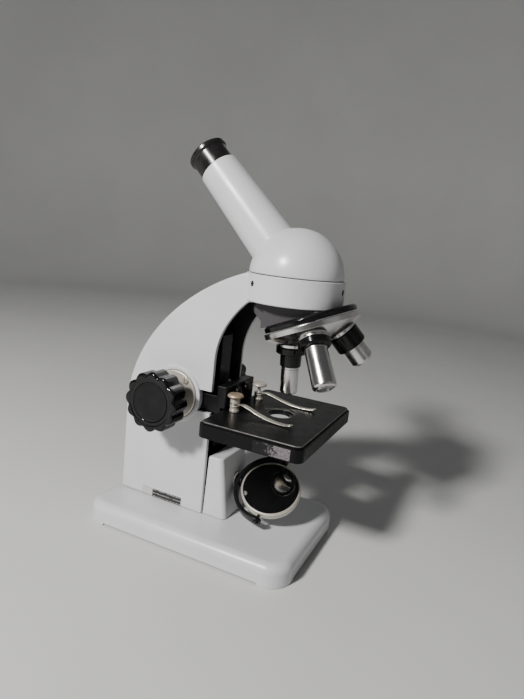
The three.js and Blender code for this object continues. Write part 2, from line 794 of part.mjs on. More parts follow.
// The stage's outline in plan, drawn in from its edge.
function stageOutline(inset) {
  const half = STAGE.halfWidth - inset;
  const along = [STAGE.rear + inset, STAGE.front - inset];
  return roundedRectangle(along, [-half, half], STAGE.corner - inset);
}

function stagePlate() {
  const rim = STAGE.top - STAGE.rimHeight;
  let body = slab(stageOutline(0), [STAGE.bottom, rim], 5)
    .add(slab(stageOutline(STAGE.rimStep), [rim - GAP, STAGE.top], 5))
    .subtract(slab(stageOutline(STAGE.wall), [STAGE.bottom - RUN, STAGE.top - STAGE.skin], 4));
  body = body.subtract(bar(STAGE.hole, [STAGE.bottom, STAGE.top + RUN]).translate([AXIS_X, 0, 0]));
  for (const { sign } of SIDES) {
    const hole = bar(CLIP.pin + FIT, [STAGE.bottom, STAGE.top + RUN], COARSE);
    body = body.subtract(hole.translate([CLIP.x, sign * CLIP.y, 0]));
  }
  return body;
}

piece('stage_plate', stagePlate(), BLACK_PAINT);
piece(
  'aperture_ring',
  turned([
    [APERTURE.clear, STAGE.top - STAGE.skin],
    [STAGE.hole - FIT, STAGE.top - STAGE.skin],
    [STAGE.hole - FIT, STAGE.top - APERTURE.sink],
    [APERTURE.flat, STAGE.top - APERTURE.sink],
    [APERTURE.clear, STAGE.top - APERTURE.depth],
  ]).translate([AXIS_X, 0, 0]),
  STEEL,
);

// ---------------------------------------------------------------- stage clips

// The leaf rises a little from the post, falls in an S to the slide, and turns up at its tip.
function clipLeaf() {
  const knots = CLIP_LEAF.map(([x, z]) => new THREE.Vector3(x, z + CLIP.level, 0));
  const line = new THREE.CatmullRomCurve3(knots);
  const half = CLIP.thickness / 2;
  const steps = 14;
  const points = line.getPoints(steps);
  const normals = points.map((_, i) => {
    const tangent = line.getTangent(i / steps);
    return new THREE.Vector2(-tangent.y, tangent.x).multiplyScalar(half);
  });
  const upper = points.map((p, i) => [p.x + normals[i].x, p.y + normals[i].y]);
  const lower = points.map((p, i) => [p.x - normals[i].x, p.y - normals[i].y]);
  const leaf = sideSlab(polygon([...lower, ...upper.reverse()]), [-CLIP.width / 2, CLIP.width / 2]);
  const eye = bar(CLIP.postRadius, [CLIP.level - half, CLIP.level + half], COARSE);
  return leaf.add(eye).subtract(bar(CLIP.stem + FIT, [0, 2 * CLIP.level], COARSE));
}

for (const { name, sign } of SIDES) {
  const { splay, sleeve, sleeveFoot, underside } = CLIP_HEADS[name];
  const clip = placed(microscope, [CLIP.x, sign * CLIP.y, CLIP.postTop], [0, 0, sign * splay]);
  const seat = STAGE.top - CLIP.postTop;
  const shoulder = CLIP.level - CLIP.thickness / 2 - GAP;
  const post = turned(
    [
      [0, seat - CLIP.pinDepth],
      [CLIP.pin, seat - CLIP.pinDepth],
      [CLIP.pin, seat + PRESS],
      [CLIP.postRadius, seat + PRESS],
      [CLIP.postRadius, shoulder],
      [CLIP.stem, shoulder],
      [CLIP.stem, CLIP.stemTop],
      [0, CLIP.stemTop],
    ],
    COARSE,
  );
  const { radius, bore, height } = CLIP_CROWN;
  const head = turned(
    [
      [bore, sleeveFoot],
      [sleeve, sleeveFoot],
      [sleeve, underside],
      [0.75 * radius, underside],
      [radius, underside + 0.4 * height],
      [0.9 * radius, underside + 0.7 * height],
      [0.55 * radius, underside + 0.95 * height],
      [bore, underside + height],
    ],
    COARSE,
  );
  piece(`clip_post_${name}`, post, NICKEL, clip);
  piece(`spring_clip_${name}`, clipLeaf(), NICKEL, clip);
  piece(`clip_head_${name}`, head, BRASS, clip);
}

// ---------------------------------------------------------------- nosepiece

// The turret's own frame: +Z runs up its axis, back towards the head, and the rim lies at height 0.
const turretFrame = placed(microscope, turretPlace(), [0, -TURRET.tilt, 0]);

// A wedge that carries the turret's fixed plate at its slant under the level collar.
function nosepieceMount() {
  const { rear, front, halfWidth, corner, foot, throatX } = WEDGE;
  const top = COLLAR.bottom - GAP;
  const wide = COLLAR.radius + RUN;
  const outline = roundedRectangle([rear, front], [-halfWidth, halfWidth], corner);
  let body = slab(outline, [foot, top], 5);
  const below = block([-2 * wide, 2 * wide], [-wide, wide], [-2 * wide, PLATE.high + GAP]);
  body = body.subtract(onTurret(below));
  body = body.subtract(sideSlab(polygon(WEDGE_REAR), [-wide, wide]));
  const throat = ARM.halfWidth - ARM.wall - 2 * GAP; // between the arm's side walls
  for (const { sign } of SIDES) {
    const beside = sign < 0 ? [-wide, -throat] : [throat, wide];
    body = body.subtract(block([0, throatX], beside, [foot - RUN, top + RUN]));
  }
  return body.subtract(bar(COLLAR.lightHole, [foot - RUN, top + RUN], COARSE).translate([AXIS_X, 0, 0]));
}

piece('nosepiece_mount', nosepieceMount(), BLACK_PAINT);

function fixedPlate() {
  const { low, high, radius, bore, bevel } = PLATE;
  const disc = turned(
    [
      [bore, low],
      [radius, low],
      [radius, high - bevel],
      [radius - bevel, high],
      [bore, high],
    ],
    FINE,
  );
  const place = turretPlace();
  const light = bar(COLLAR.lightHole, [-TURRET.apex, TURRET.apex], COARSE).translate([AXIS_X, 0, 0]);
  return disc.subtract(light.translate(place.map((v) => -v)).rotate([0, TURRET.tilt, 0]));
}

piece('turret_plate', fixedPlate(), GLOSS_BLACK, turretFrame);

// A Z-axis solid measured from the apex, where all the objectives' axes meet, laid along one of them.
function alongObjective(body, k) {
  const angle = 180 - TURRET_REST + 120 * k;
  return body.rotate([0, 180 - TURRET.tilt, 0]).translate([0, 0, TURRET.drop]).rotate([0, 0, angle]);
}

function turretDome() {
  const rim = TURRET.radius;
  const wall = TURRET.wall;
  const rows = 5;
  const outside = [];
  const inside = [];
  for (let i = 0; i <= rows; i += 1) {
    const r = (rim * i) / rows;
    outside.push([r, -TURRET.band - (TURRET.depth - TURRET.band) * (1 - (i / rows) ** 2)]);
  }
  for (let i = rows - 1; i >= 0; i -= 1) {
    const r = ((rim - wall) * i) / (rows - 1);
    inside.push([r, -TURRET.band + wall / 2 - (TURRET.depth - TURRET.band - wall) * (1 - (i / (rows - 1)) ** 2)]);
  }
  let body = turned([...outside, [rim, 0], [rim - wall, 0], ...inside], FINE);
  const room = bar(rim - wall / 2, [-2 * TURRET.depth, -GAP], FINE);
  OBJECTIVES.forEach((objective, k) => {
    const boss = alongObjective(bar(THREAD.boss, [THREAD.start, THREAD.bossEnd]), k);
    body = body.add(boss.intersect(room));
  });
  body = body.add(bar(TURRET.hub, [wall - TURRET.depth, -GAP], COARSE));
  const thread = bar(THREAD.radius + FIT, [0, TURRET.apex]);
  const flangeRoom = bar(FLANGE.radius + GAP, [FLANGE.start - GAP / 2, TURRET.apex]);
  OBJECTIVES.forEach((objective, k) => {
    body = body.subtract(alongObjective(thread.add(flangeRoom), k));
  });
  return body.subtract(bar(TURRET.bolt + GAP, [-2 * TURRET.depth, RUN], COARSE));
}

piece('turret_dome', turretDome(), CHROME, turretFrame);

const boltUnderside = -TURRET.depth - GAP;
const turretScrewSlot = block(
  [-2 * TURRET.hub, 2 * TURRET.hub],
  [-0.5, 0.5],
  [-2 * TURRET.depth, boltUnderside - 1.7],
);
const turretScrew = turned(
  [
    [0, boltUnderside - 3],
    [TURRET.boltHead - 1.2, boltUnderside - 2.3],
    [TURRET.boltHead, boltUnderside],
    [TURRET.bolt, boltUnderside],
    [TURRET.bolt, PLATE.high - GAP],
    [0, PLATE.high - GAP],
  ],
  COARSE,
).subtract(turretScrewSlot);
piece('turret_screw', turretScrew, CHROME, turretFrame);

OBJECTIVES.forEach((objective, k) => {
  const { name, flangeEnd, neckRadius, neckEnd, radius, tip, tipRadius } = objective;
  const neck = turned([
    [THREAD.light, THREAD.start + GAP],
    [THREAD.radius, THREAD.start + GAP],
    [THREAD.radius, FLANGE.start],
    [FLANGE.radius, FLANGE.start],
    [FLANGE.radius, flangeEnd],
    [neckRadius, flangeEnd],
    [neckRadius, neckEnd],
    [THREAD.light, neckEnd],
  ]);
  piece(`objective_${name}_neck`, alongObjective(neck, k), GLOSS_BLACK, turretFrame);
  const barrel = turned([
    [LENS.seat, neckEnd + PRESS],
    [radius, neckEnd + PRESS],
    [tipRadius, tip - LENS.chamfer],
    [tipRadius - LENS.chamfer, tip],
    [LENS.hole, tip],
    [LENS.hole, tip - LENS.inset],
    [LENS.seat, tip - LENS.inset],
  ]);
  piece(`objective_${name}_barrel`, alongObjective(barrel, k), CHROME, turretFrame);
  const glassRadius = LENS.seat - 2 * PRESS;
  const lens = turned(
    [
      [0, tip - LENS.depth],
      [glassRadius, tip - LENS.depth],
      [glassRadius, tip - LENS.inset - 2 * PRESS],
      [glassRadius / 2, tip - LENS.inset],
      [0, tip - LENS.inset + FIT],
    ],
    COARSE,
  );
  piece(`objective_${name}_lens`, alongObjective(lens, k), GLASS, turretFrame);
});

// ---------------------------------------------------------------- head

// The tube's own frame: +Z runs up the tube from the middle of the dome.
const domeCentre = [AXIS_X, 0, COLLAR.top];
const tubeFrame = placed(microscope, domeCentre, [0, -TUBE.tilt, 0]);

function onTube(body) {
  return body.rotate([0, -TUBE.tilt, 0]).translate(domeCentre);
}

function arc(radius, from, to, steps) {
  const points = [];
  for (let i = 0; i <= steps; i += 1) {
    const angle = radians(from + ((to - from) * i) / steps);
    points.push([Math.max(0, radius * Math.cos(angle)), radius * Math.sin(angle)]);
  }
  return points;
}

function headDome() {
  const inner = DOME.radius - DOME.wall;
  const lining = DOME.spigot - DOME.spigotWall;
  const seam = GAP + 2 * PRESS;
  const grooveAt = SET_SCREW.height - COLLAR.top;
  const deep = DOME.spigot - DOME.groove;
  const { grooveHalf } = DOME;
  const grooveMouth = grooveHalf + DOME.groove / 2;
  const outline = [
    [lining, -DOME.spigotDepth],
    [DOME.spigot, -DOME.spigotDepth],
    [DOME.spigot, grooveAt - grooveMouth],
    [deep, grooveAt - grooveHalf],
    [deep, grooveAt + grooveHalf],
    [DOME.spigot, grooveAt + grooveMouth],
    [DOME.spigot, seam],
    ...arc(DOME.radius, 1, 90, 8),
    ...arc(inner, 90, 6, 5),
    [lining, DOME.wall / 2],
  ];
  const shell = turned(outline, FINE).translate(domeCentre);
  return shell.subtract(onTube(bar(TUBE.stub + FIT, [0, 2 * DOME.radius], MEDIUM)));
}

piece('head_dome', headDome(), PAINT);

function tube() {
  const lip = 2 * GAP;
  const outer = turned([
    [TUBE.bore, TUBE.root],
    [TUBE.stub, TUBE.root],
    [TUBE.stub, TUBE.shoulder],
    [TUBE.rootRadius + FIT, TUBE.shoulder],
    [TUBE.rootRadius, TUBE.start],
    [TUBE.endRadius, TUBE.end - lip],
    [TUBE.endRadius - lip, TUBE.end],
    [TUBE.bore, TUBE.end],
  ]);
  const ball = solid(new THREE.SphereGeometry(DOME.radius + 2 * GAP, FINE, FINE / 2));
  return outer.subtract(ball).add(ring(TUBE.bore, TUBE.stub, [TUBE.root, TUBE.start]));
}

piece('eyepiece_tube', tube(), PAINT, tubeFrame);

// A half-pentagonal prism that turns the upright beam into the tube.
function prism() {
  const at = ([x, z]) => [AXIS_X + x, COLLAR.top + z];
  const outline = [
    [-PRISM.half, PRISM.foot],
    [PRISM.half, PRISM.foot],
    [PRISM.half, PRISM.frontTop],
    PRISM.ridge,
    [-PRISM.half, PRISM.rearTop],
  ];
  return sideSlab(polygon(outline.map(at)), [-PRISM.halfWidth, PRISM.halfWidth]);
}

piece('prism', prism(), GLASS);

const insertEnd = TUBE.end - EYEPIECE.insert;
const shade = EYEPIECE.tip - 1.5 * EYEPIECE.stopDepth;
const eyepieceBarrel = turned([
  [EYEPIECE.bore, insertEnd],
  [EYEPIECE.barrel, insertEnd],
  [EYEPIECE.barrel, TUBE.end + PRESS],
  [EYEPIECE.neck, TUBE.end + PRESS],
  [EYEPIECE.neck, EYEPIECE.tip - EYEPIECE.rimLength],
  [EYEPIECE.rimRadius, EYEPIECE.tip - EYEPIECE.rimLength],
  [EYEPIECE.rimRadius, EYEPIECE.tip - 0.8],
  [EYEPIECE.rimRadius - 0.8, EYEPIECE.tip],
  [EYEPIECE.bore + 1.2, EYEPIECE.tip],
  [EYEPIECE.stop, EYEPIECE.tip - EYEPIECE.stopDepth],
  [EYEPIECE.stop, shade],
  [EYEPIECE.bore, shade],
]);
piece('eyepiece_barrel', eyepieceBarrel, GLOSS_BLACK, tubeFrame);

// A lens with one bulging face and the other flat.
function lens(radius, low, bulge) {
  const rim = low + EYEPIECE.lensEdge;
  return turned(
    [
      [0, low],
      [radius, low],
      [radius, rim],
      [radius / 2, rim + 0.75 * bulge],
      [0, rim + bulge],
    ],
    COARSE,
  );
}

const eyeLensBulge = 1.6;
const fieldLensBulge = 2;
const eyeLensLow = shade - EYEPIECE.lensEdge - eyeLensBulge - 2 * FIT;
piece('eye_lens', lens(EYEPIECE.bore - FIT, eyeLensLow, eyeLensBulge), GLASS, tubeFrame);
piece('field_lens', lens(EYEPIECE.bore - FIT, insertEnd + RUN, fieldLensBulge), GLASS, tubeFrame);

// ---------------------------------------------------------------- mirror

// The fork's own frame: X along the swivel pin, Y through the two pivots. The mirror turns in it about Y.
const forkFrame = placed(microscope, [MIRROR.x, 0, MIRROR.z], [MIRROR_REST.swivel, 0, 0]);
const mirrorFrame = placed(forkFrame, [0, 0, 0], [0, MIRROR_REST.tilt, 0]);

function fork() {
  const { inner, outer, halfDepth, lug } = FORK;
  const shape = new THREE.Shape();
  shape.moveTo(lug, outer);
  shape.lineTo(0, outer);
  shape.absarc(0, 0, outer, Math.PI / 2, 1.5 * Math.PI);
  shape.lineTo(lug, -outer);
  shape.lineTo(lug, -inner);
  shape.lineTo(0, -inner);
  shape.absarc(0, 0, inner, 1.5 * Math.PI, Math.PI / 2, true);
  shape.lineTo(lug, inner);
  const reach = outer + RUN;
  return slab(shape, [-halfDepth, halfDepth], 12)
    .subtract(alongX(bar(PIN.radius + FIT, [-reach, 0], COARSE)))
    .subtract(alongY(bar(PIVOT.radius + FIT, [-reach, reach], COARSE)));
}

piece('mirror_fork', fork(), BLACK_PAINT, forkFrame);

// The swivel pin, riveted to the fork, with a shoulder between the fork and the pillar.
const pinBody = turned(
  [
    [0, PIN.start - MIRROR.x],
    [PIN.radius, PIN.start - MIRROR.x],
    [PIN.radius, PIN.shoulder - MIRROR.x],
    [PIN.shoulderRadius, PIN.shoulder - MIRROR.x],
    [PIN.shoulderRadius, -FORK.outer - 2 * PRESS],
    [PIN.radius, -FORK.outer - 2 * PRESS],
    [PIN.radius, -FORK.inner + GAP],
    [PIN.head, -FORK.inner + GAP],
    [PIN.head, -FORK.inner + RUN],
    [PIN.head - RUN, -FORK.inner + PIN.headHeight],
    [0, -FORK.inner + PIN.headHeight],
  ],
  COARSE,
);
piece('fork_pin', alongX(pinBody), STEEL, forkFrame);

function mirrorRing() {
  const half = MIRROR.depth / 2;
  const { radius, chamfer, web } = MIRROR;
  const seat = MIRROR.glass + FIT;
  const clear = seat - MIRROR.lip;
  const body = turned(
    [
      [seat, -half],
      [radius - chamfer, -half],
      [radius, -half + chamfer],
      [radius, half - chamfer],
      [radius - chamfer, half],
      [seat, half],
      [seat, web],
      [clear, web],
      [clear, -web],
      [seat, -web],
    ],
    FINE,
  );
  const socket = [radius - PIVOT.sink, radius + RUN];
  const near = alongY(bar(PIVOT.radius + FIT, socket, COARSE));
  return body.subtract(near).subtract(near.mirror([0, 1, 0]));
}

piece('mirror_ring', mirrorRing(), NICKEL, mirrorFrame);

const glassBack = MIRROR.web + PRESS;
const glassFront = glassBack + MIRROR.glassThickness;
piece('plane_mirror', bar(MIRROR.glass, [glassBack, glassFront], FINE), MIRROR_GLASS, mirrorFrame);
piece(
  'concave_mirror',
  turned(
    [
      [0, -glassFront + MIRROR.dish],
      [MIRROR.glass / 2, -glassFront + 0.75 * MIRROR.dish],
      [MIRROR.glass - RUN, -glassFront],
      [MIRROR.glass, -glassFront],
      [MIRROR.glass, -glassBack],
      [0, -glassBack],
    ],
    FINE,
  ),
  MIRROR_GLASS,
  mirrorFrame,
);

for (const { name, sign } of SIDES) {
  const start = MIRROR.radius - PIVOT.sink + GAP;
  const seat = FORK.outer + 2 * PRESS;
  const end = FORK.outer + PIVOT.headHeight;
  const screw = turned(
    [
      [0, start],
      [PIVOT.radius, start],
      [PIVOT.radius, seat],
      [PIVOT.head, seat],
      [PIVOT.head - GAP, end - GAP],
      [0, end],
    ],
    COARSE,
  );
  piece(`pivot_screw_${name}`, outwards(screw, sign), STEEL, forkFrame);
}

// ---------------------------------------------------------------- origin

const whole = new THREE.Box3().setFromObject(microscope, true);
microscope.position.x = -(whole.min.x + whole.max.x) / 2;

export default microscope;
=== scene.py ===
"""The looks of the school microscope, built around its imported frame.

Lengths are in millimetres until a piece is finished, and the drawing's axes are the frame's: +Z up,
+X towards the front of the stage, +Y away from the near knob. Positions come from the frame's joints
and boxes, and the numbers here are sizes along each piece's own axis.
"""
import json
import math

import bmesh
import bpy
from mathutils import Matrix, Vector


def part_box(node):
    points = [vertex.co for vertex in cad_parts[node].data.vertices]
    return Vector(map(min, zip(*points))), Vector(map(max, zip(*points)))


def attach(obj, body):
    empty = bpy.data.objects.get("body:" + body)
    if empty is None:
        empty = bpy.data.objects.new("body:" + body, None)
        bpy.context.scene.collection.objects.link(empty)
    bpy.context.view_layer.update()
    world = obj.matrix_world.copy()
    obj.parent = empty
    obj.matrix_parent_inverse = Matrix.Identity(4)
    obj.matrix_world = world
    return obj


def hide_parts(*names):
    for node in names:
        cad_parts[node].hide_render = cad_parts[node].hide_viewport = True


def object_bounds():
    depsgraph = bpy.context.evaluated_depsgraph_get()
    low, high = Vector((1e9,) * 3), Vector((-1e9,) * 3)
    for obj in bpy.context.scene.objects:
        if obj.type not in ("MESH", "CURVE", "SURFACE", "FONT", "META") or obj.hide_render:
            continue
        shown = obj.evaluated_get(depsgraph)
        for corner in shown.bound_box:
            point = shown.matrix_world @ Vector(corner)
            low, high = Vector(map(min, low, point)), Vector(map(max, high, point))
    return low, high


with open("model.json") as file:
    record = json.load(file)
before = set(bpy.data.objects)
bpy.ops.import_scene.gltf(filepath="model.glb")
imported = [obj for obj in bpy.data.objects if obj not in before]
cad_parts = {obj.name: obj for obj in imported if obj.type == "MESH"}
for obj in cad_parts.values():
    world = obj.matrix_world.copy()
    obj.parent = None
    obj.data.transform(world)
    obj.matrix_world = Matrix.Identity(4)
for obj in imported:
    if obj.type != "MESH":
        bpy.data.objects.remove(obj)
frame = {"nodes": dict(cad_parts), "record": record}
CAD_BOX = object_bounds()

MM = 0.001
WELD = 1e-4
SIDES = (("near", -1), ("far", 1))
CUT, ADD, KEEP = "DIFFERENCE", "UNION", "INTERSECT"
JOINTS = {joint["name"]: joint for joint in frame["record"]["behaviour"]["joints"]}


def box(node):
    """A node's lowest and highest corner in millimetres."""
    low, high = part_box(node)
    return low / MM, high / MM


def joint_at(name):
    return Vector(JOINTS[name]["pos_m"]) / MM


BASE_LOW, BASE_HIGH = box("base_shell")
BASE_X = (BASE_LOW.x + BASE_HIGH.x) / 2
HEAD = joint_at("head_turn")
FOCUS = joint_at("focus_turn")
TURRET = joint_at("turret_turn")
TURRET_AXIS = -Vector(JOINTS["turret_turn"]["axis"])
FORK = joint_at("fork_turn")
OPTICAL_X = HEAD.x
TURRET_TILT = math.degrees(math.atan2(-TURRET_AXIS.x, TURRET_AXIS.z))

# ---- mesh building


def arc_points(corner, before, after, radius, steps):
    """The corner of a polyline as an arc of that radius."""
    a, b = before - corner, after - corner
    reach = 0.49 * min(a.length, b.length)
    a.normalize()
    b.normalize()
    half = a.angle(b) / 2
    if half > math.radians(88):
        return [corner]
    cut = min(radius / math.tan(half), reach)
    radius = cut * math.tan(half)
    centre = corner + (a + b).normalized() * (radius / math.sin(half))
    start = corner + a * cut - centre
    turn = math.pi - 2 * half
    if a.x * b.y - a.y * b.x > 0:
        turn = -turn
    points = []
    for i in range(steps + 1):
        angle = turn * i / steps
        c, s = math.cos(angle), math.sin(angle)
        points.append(centre + Vector((start.x * c - start.y * s, start.x * s + start.y * c)))
    return points


def rounded(points, closed=True, steps=5):
    """A polyline with its corners rounded. A point is (a, b) or (a, b, radius of its corner)."""
    out = []
    count = len(points)
    for i, point in enumerate(points):
        here = Vector(point[:2])
        radius = point[2] if len(point) > 2 else 0
        if radius <= 0 or (not closed and i in (0, count - 1)):
            out.append(here)
            continue
        before = Vector(points[i - 1][:2])
        after = Vector(points[(i + 1) % count][:2])
        out.extend(arc_points(here, before, after, radius, steps))
    return out


def bezier(p0, p1, p2, p3, steps):
    """Points along a cubic curve, both ends included."""
    out = []
    for i in range(steps + 1):
        t = i / steps
        u = 1 - t
        weights = (u**3, 3 * u * u * t, 3 * u * t * t, t**3)
        x = sum(w * p[0] for w, p in zip(weights, (p0, p1, p2, p3)))
        y = sum(w * p[1] for w, p in zip(weights, (p0, p1, p2, p3)))
        out.append((x, y))
    return out


def skin(rings, closed=False, capped=True):
    """A mesh through rings of points. A ring of one point is a pole."""
    bm = bmesh.new()
    loops = [[bm.verts.new(p) for p in ring] for ring in rings]
    pairs = list(zip(loops, loops[1:]))
    if closed:
        pairs.append((loops[-1], loops[0]))
    for a, b in pairs:
        count = max(len(a), len(b))
        for i in range(count):
            j = (i + 1) % count
            if len(a) == 1:
                bm.faces.new((a[0], b[i], b[j]))
            elif len(b) == 1:
                bm.faces.new((a[i], a[j], b[0]))
            else:
                bm.faces.new((a[i], a[j], b[j], b[i]))
    if capped and not closed:
        for loop in (loops[0], loops[-1]):
            if len(loop) > 2:
                bm.faces.new(loop)
    bmesh.ops.remove_doubles(bm, verts=bm.verts, dist=WELD)
    bmesh.ops.recalc_face_normals(bm, faces=bm.faces)
    return bm


def lathe(profile, segments=96, steps=5, wave=None):
    """A turned piece about Z. The profile's points are (radius, height, corner radius)."""
    poles = profile[0][0] <= 0 and profile[-1][0] <= 0
    points = rounded(profile, not poles, steps)
    rings = []
    for r, z in points:
        if r < 1e-6:
            rings.append([Vector((0, 0, z))])
            continue
        ring = []
        for i in range(segments):
            angle = 2 * math.pi * i / segments
            here = r - wave(angle, r, z) if wave else r
            ring.append(Vector((here * math.cos(angle), here * math.sin(angle), z)))
        rings.append(ring)
    return skin(rings, closed=not poles, capped=False)


def drum(radius, low, high, segments=64):
    """A plain cylinder about Z."""
    return lathe([(0, low), (radius, low), (radius, high), (0, high)], segments)


def offset(outline, distances):
    """A flat outline moved inwards, by its own distance at each point."""
    area = sum(a.x * b.y - b.x * a.y for a, b in zip(outline, outline[1:] + outline[:1]))
    side = 1 if area > 0 else -1
    out = []
    count = len(outline)
    for i, here in enumerate(outline):
        before = (here - outline[i - 1]).normalized()
        after = (outline[(i + 1) % count] - here).normalized()
        normal = Vector((-before.y - after.y, before.x + after.x)).normalized() * side
        stretch = max(0.5, math.cos(before.angle(after) / 2))
        out.append(here + normal * distances[i] / stretch)
    return out


def slab(outline, low, high, edge=0.4, steps=3, edges=None, top_edge=None):
    """A flat outline made solid between two heights, with rounded bottom and top edges."""
    outline = [Vector(p[:2]) for p in outline]
    widths = edges or [edge] * len(outline)
    rings = []
    for top in (False, True):
        if top and top_edge is not None:
            widths = [top_edge] * len(outline)
        for i in range(steps + 1):
            angle = math.pi / 2 * (i / steps if top else 1 - i / steps)
            inset = [w * (1 - math.cos(angle)) for w in widths]
            ring = []
            for point, width in zip(offset(outline, inset), widths):
                rise = width * (1 - math.sin(angle))
                ring.append(Vector((point.x, point.y, high - rise if top else low + rise)))
            rings.append(ring)
            if top and top_edge == 0:
                break
    return skin(rings)


def strap(line, widths, thickness, edge=0.25):
    """A bent strip. line is its middle in X and Z, widths its half width at each point, across Y."""
    line = [Vector(p) for p in line]
    rings = []
    for i, (here, width) in enumerate(zip(line, widths)):
        along = (line[min(i + 1, len(line) - 1)] - line[max(i - 1, 0)]).normalized()
        normal = Vector((-along.y, along.x))
        half = thickness / 2
        round_by = min(edge, 0.9 * width, 0.9 * half)
        section = rounded_rectangle(-width, width, -half, half, round_by, 3)
        rings.append([Vector((here.x + normal.x * b, a, here.y + normal.y * b)) for a, b in section])
    return skin(rings)


def rounded_rectangle(x0, x1, y0, y1, corner, steps=10):
    corners = [(x0, y0, corner), (x1, y0, corner), (x1, y1, corner), (x0, y1, corner)]
    return rounded(corners, steps=steps)


def block(x, y, z, edge=0.5):
    """A box between two opposite corners with rounded edges."""
    return slab(rounded_rectangle(*x, *y, edge, 3), *z, edge=edge)


def moved(bm, *matrices):
    for matrix in matrices:
        bmesh.ops.transform(bm, matrix=matrix, verts=bm.verts)
    return bm


def joined(*parts):
    """Several closed meshes as one."""
    whole = bmesh.new()
    for part in parts:
        mesh = bpy.data.meshes.new("part")
        part.to_mesh(mesh)
        part.free()
        whole.from_mesh(mesh)
        bpy.data.meshes.remove(mesh)
    return whole


def shift(x=0, y=0, z=0):
    return Matrix.Translation((x, y, z))


def turn(degrees, axis):
    return Matrix.Rotation(math.radians(degrees), 4, axis)


ALONG_Y = turn(90, "X")  # height runs towards -Y
ALONG_X = turn(90, "Y")  # height runs towards +X
ON_BASE = shift(BASE_X)
ON_TURRET = shift(*TURRET) @ turn(-TURRET_TILT, "Y")


def temporary(bm, material=None):
    mesh = bpy.data.meshes.new("temporary")
    bm.to_mesh(mesh)
    bm.free()
    if material:
        mesh.materials.append(material)
    made = bpy.data.objects.new("temporary", mesh)
    bpy.context.scene.collection.objects.link(made)
    return made


def combined(first, *operations, material=None):
    """A mesh with each (operation, mesh, material) done to it. A cut face takes the cutter's material."""
    main = temporary(first, material)
    tools = []
    for operation, cutter, *own in operations:
        tool = temporary(cutter, own[0] if own else material)
        modifier = main.modifiers.new("cut", "BOOLEAN")
        modifier.operation = operation
        modifier.solver = "MANIFOLD"
        modifier.material_mode = "TRANSFER"
        modifier.object = tool
        tools.append(tool)
    depsgraph = bpy.context.evaluated_depsgraph_get()
    result = bpy.data.meshes.new_from_object(main.evaluated_get(depsgraph))
    for made in (main, *tools):
        data = made.data
        bpy.data.objects.remove(made)
        bpy.data.meshes.remove(data)
    bm = bmesh.new()
    bm.from_mesh(result)
    bmesh.ops.remove_doubles(bm, verts=bm.verts, dist=WELD)
    bmesh.ops.dissolve_degenerate(bm, edges=bm.edges, dist=WELD)
    bm.to_mesh(result)
    bm.free()
    return result


def slotted(profile, segments, slot, metal):
    """A turned screw with a slot cut in its head."""
    return combined(lathe(profile, segments), (CUT, slot), material=metal)


def piece(name, shape, material, body, replaces=(), angle=40, place=None):
    """Finishes a mesh drawn in millimetres as an object of the scene, riding on a body.

    An edge that bends by more than angle stays sharp.
    """
    if isinstance(shape, bmesh.types.BMesh):
        mesh = bpy.data.meshes.new(name)
        shape.to_mesh(mesh)
        shape.free()
    else:
        mesh = shape
        mesh.name = name
    mesh.transform(Matrix.Scale(MM, 4) @ (place or Matrix.Identity(4)))
    if not len([m for m in mesh.materials if m]):
        mesh.materials.clear()
        mesh.materials.append(material)
    mesh.polygons.foreach_set("use_smooth", [True] * len(mesh.polygons))
    mesh.set_sharp_from_angle(angle=math.radians(angle))
    made = bpy.data.objects.new(name, mesh)
    bpy.context.scene.collection.objects.link(made)
    weigh = made.modifiers.new("shading", "WEIGHTED_NORMAL")
    weigh.keep_sharp = True
    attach(made, body)
    if replaces:
        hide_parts(*replaces)
    return made


# ---- materials


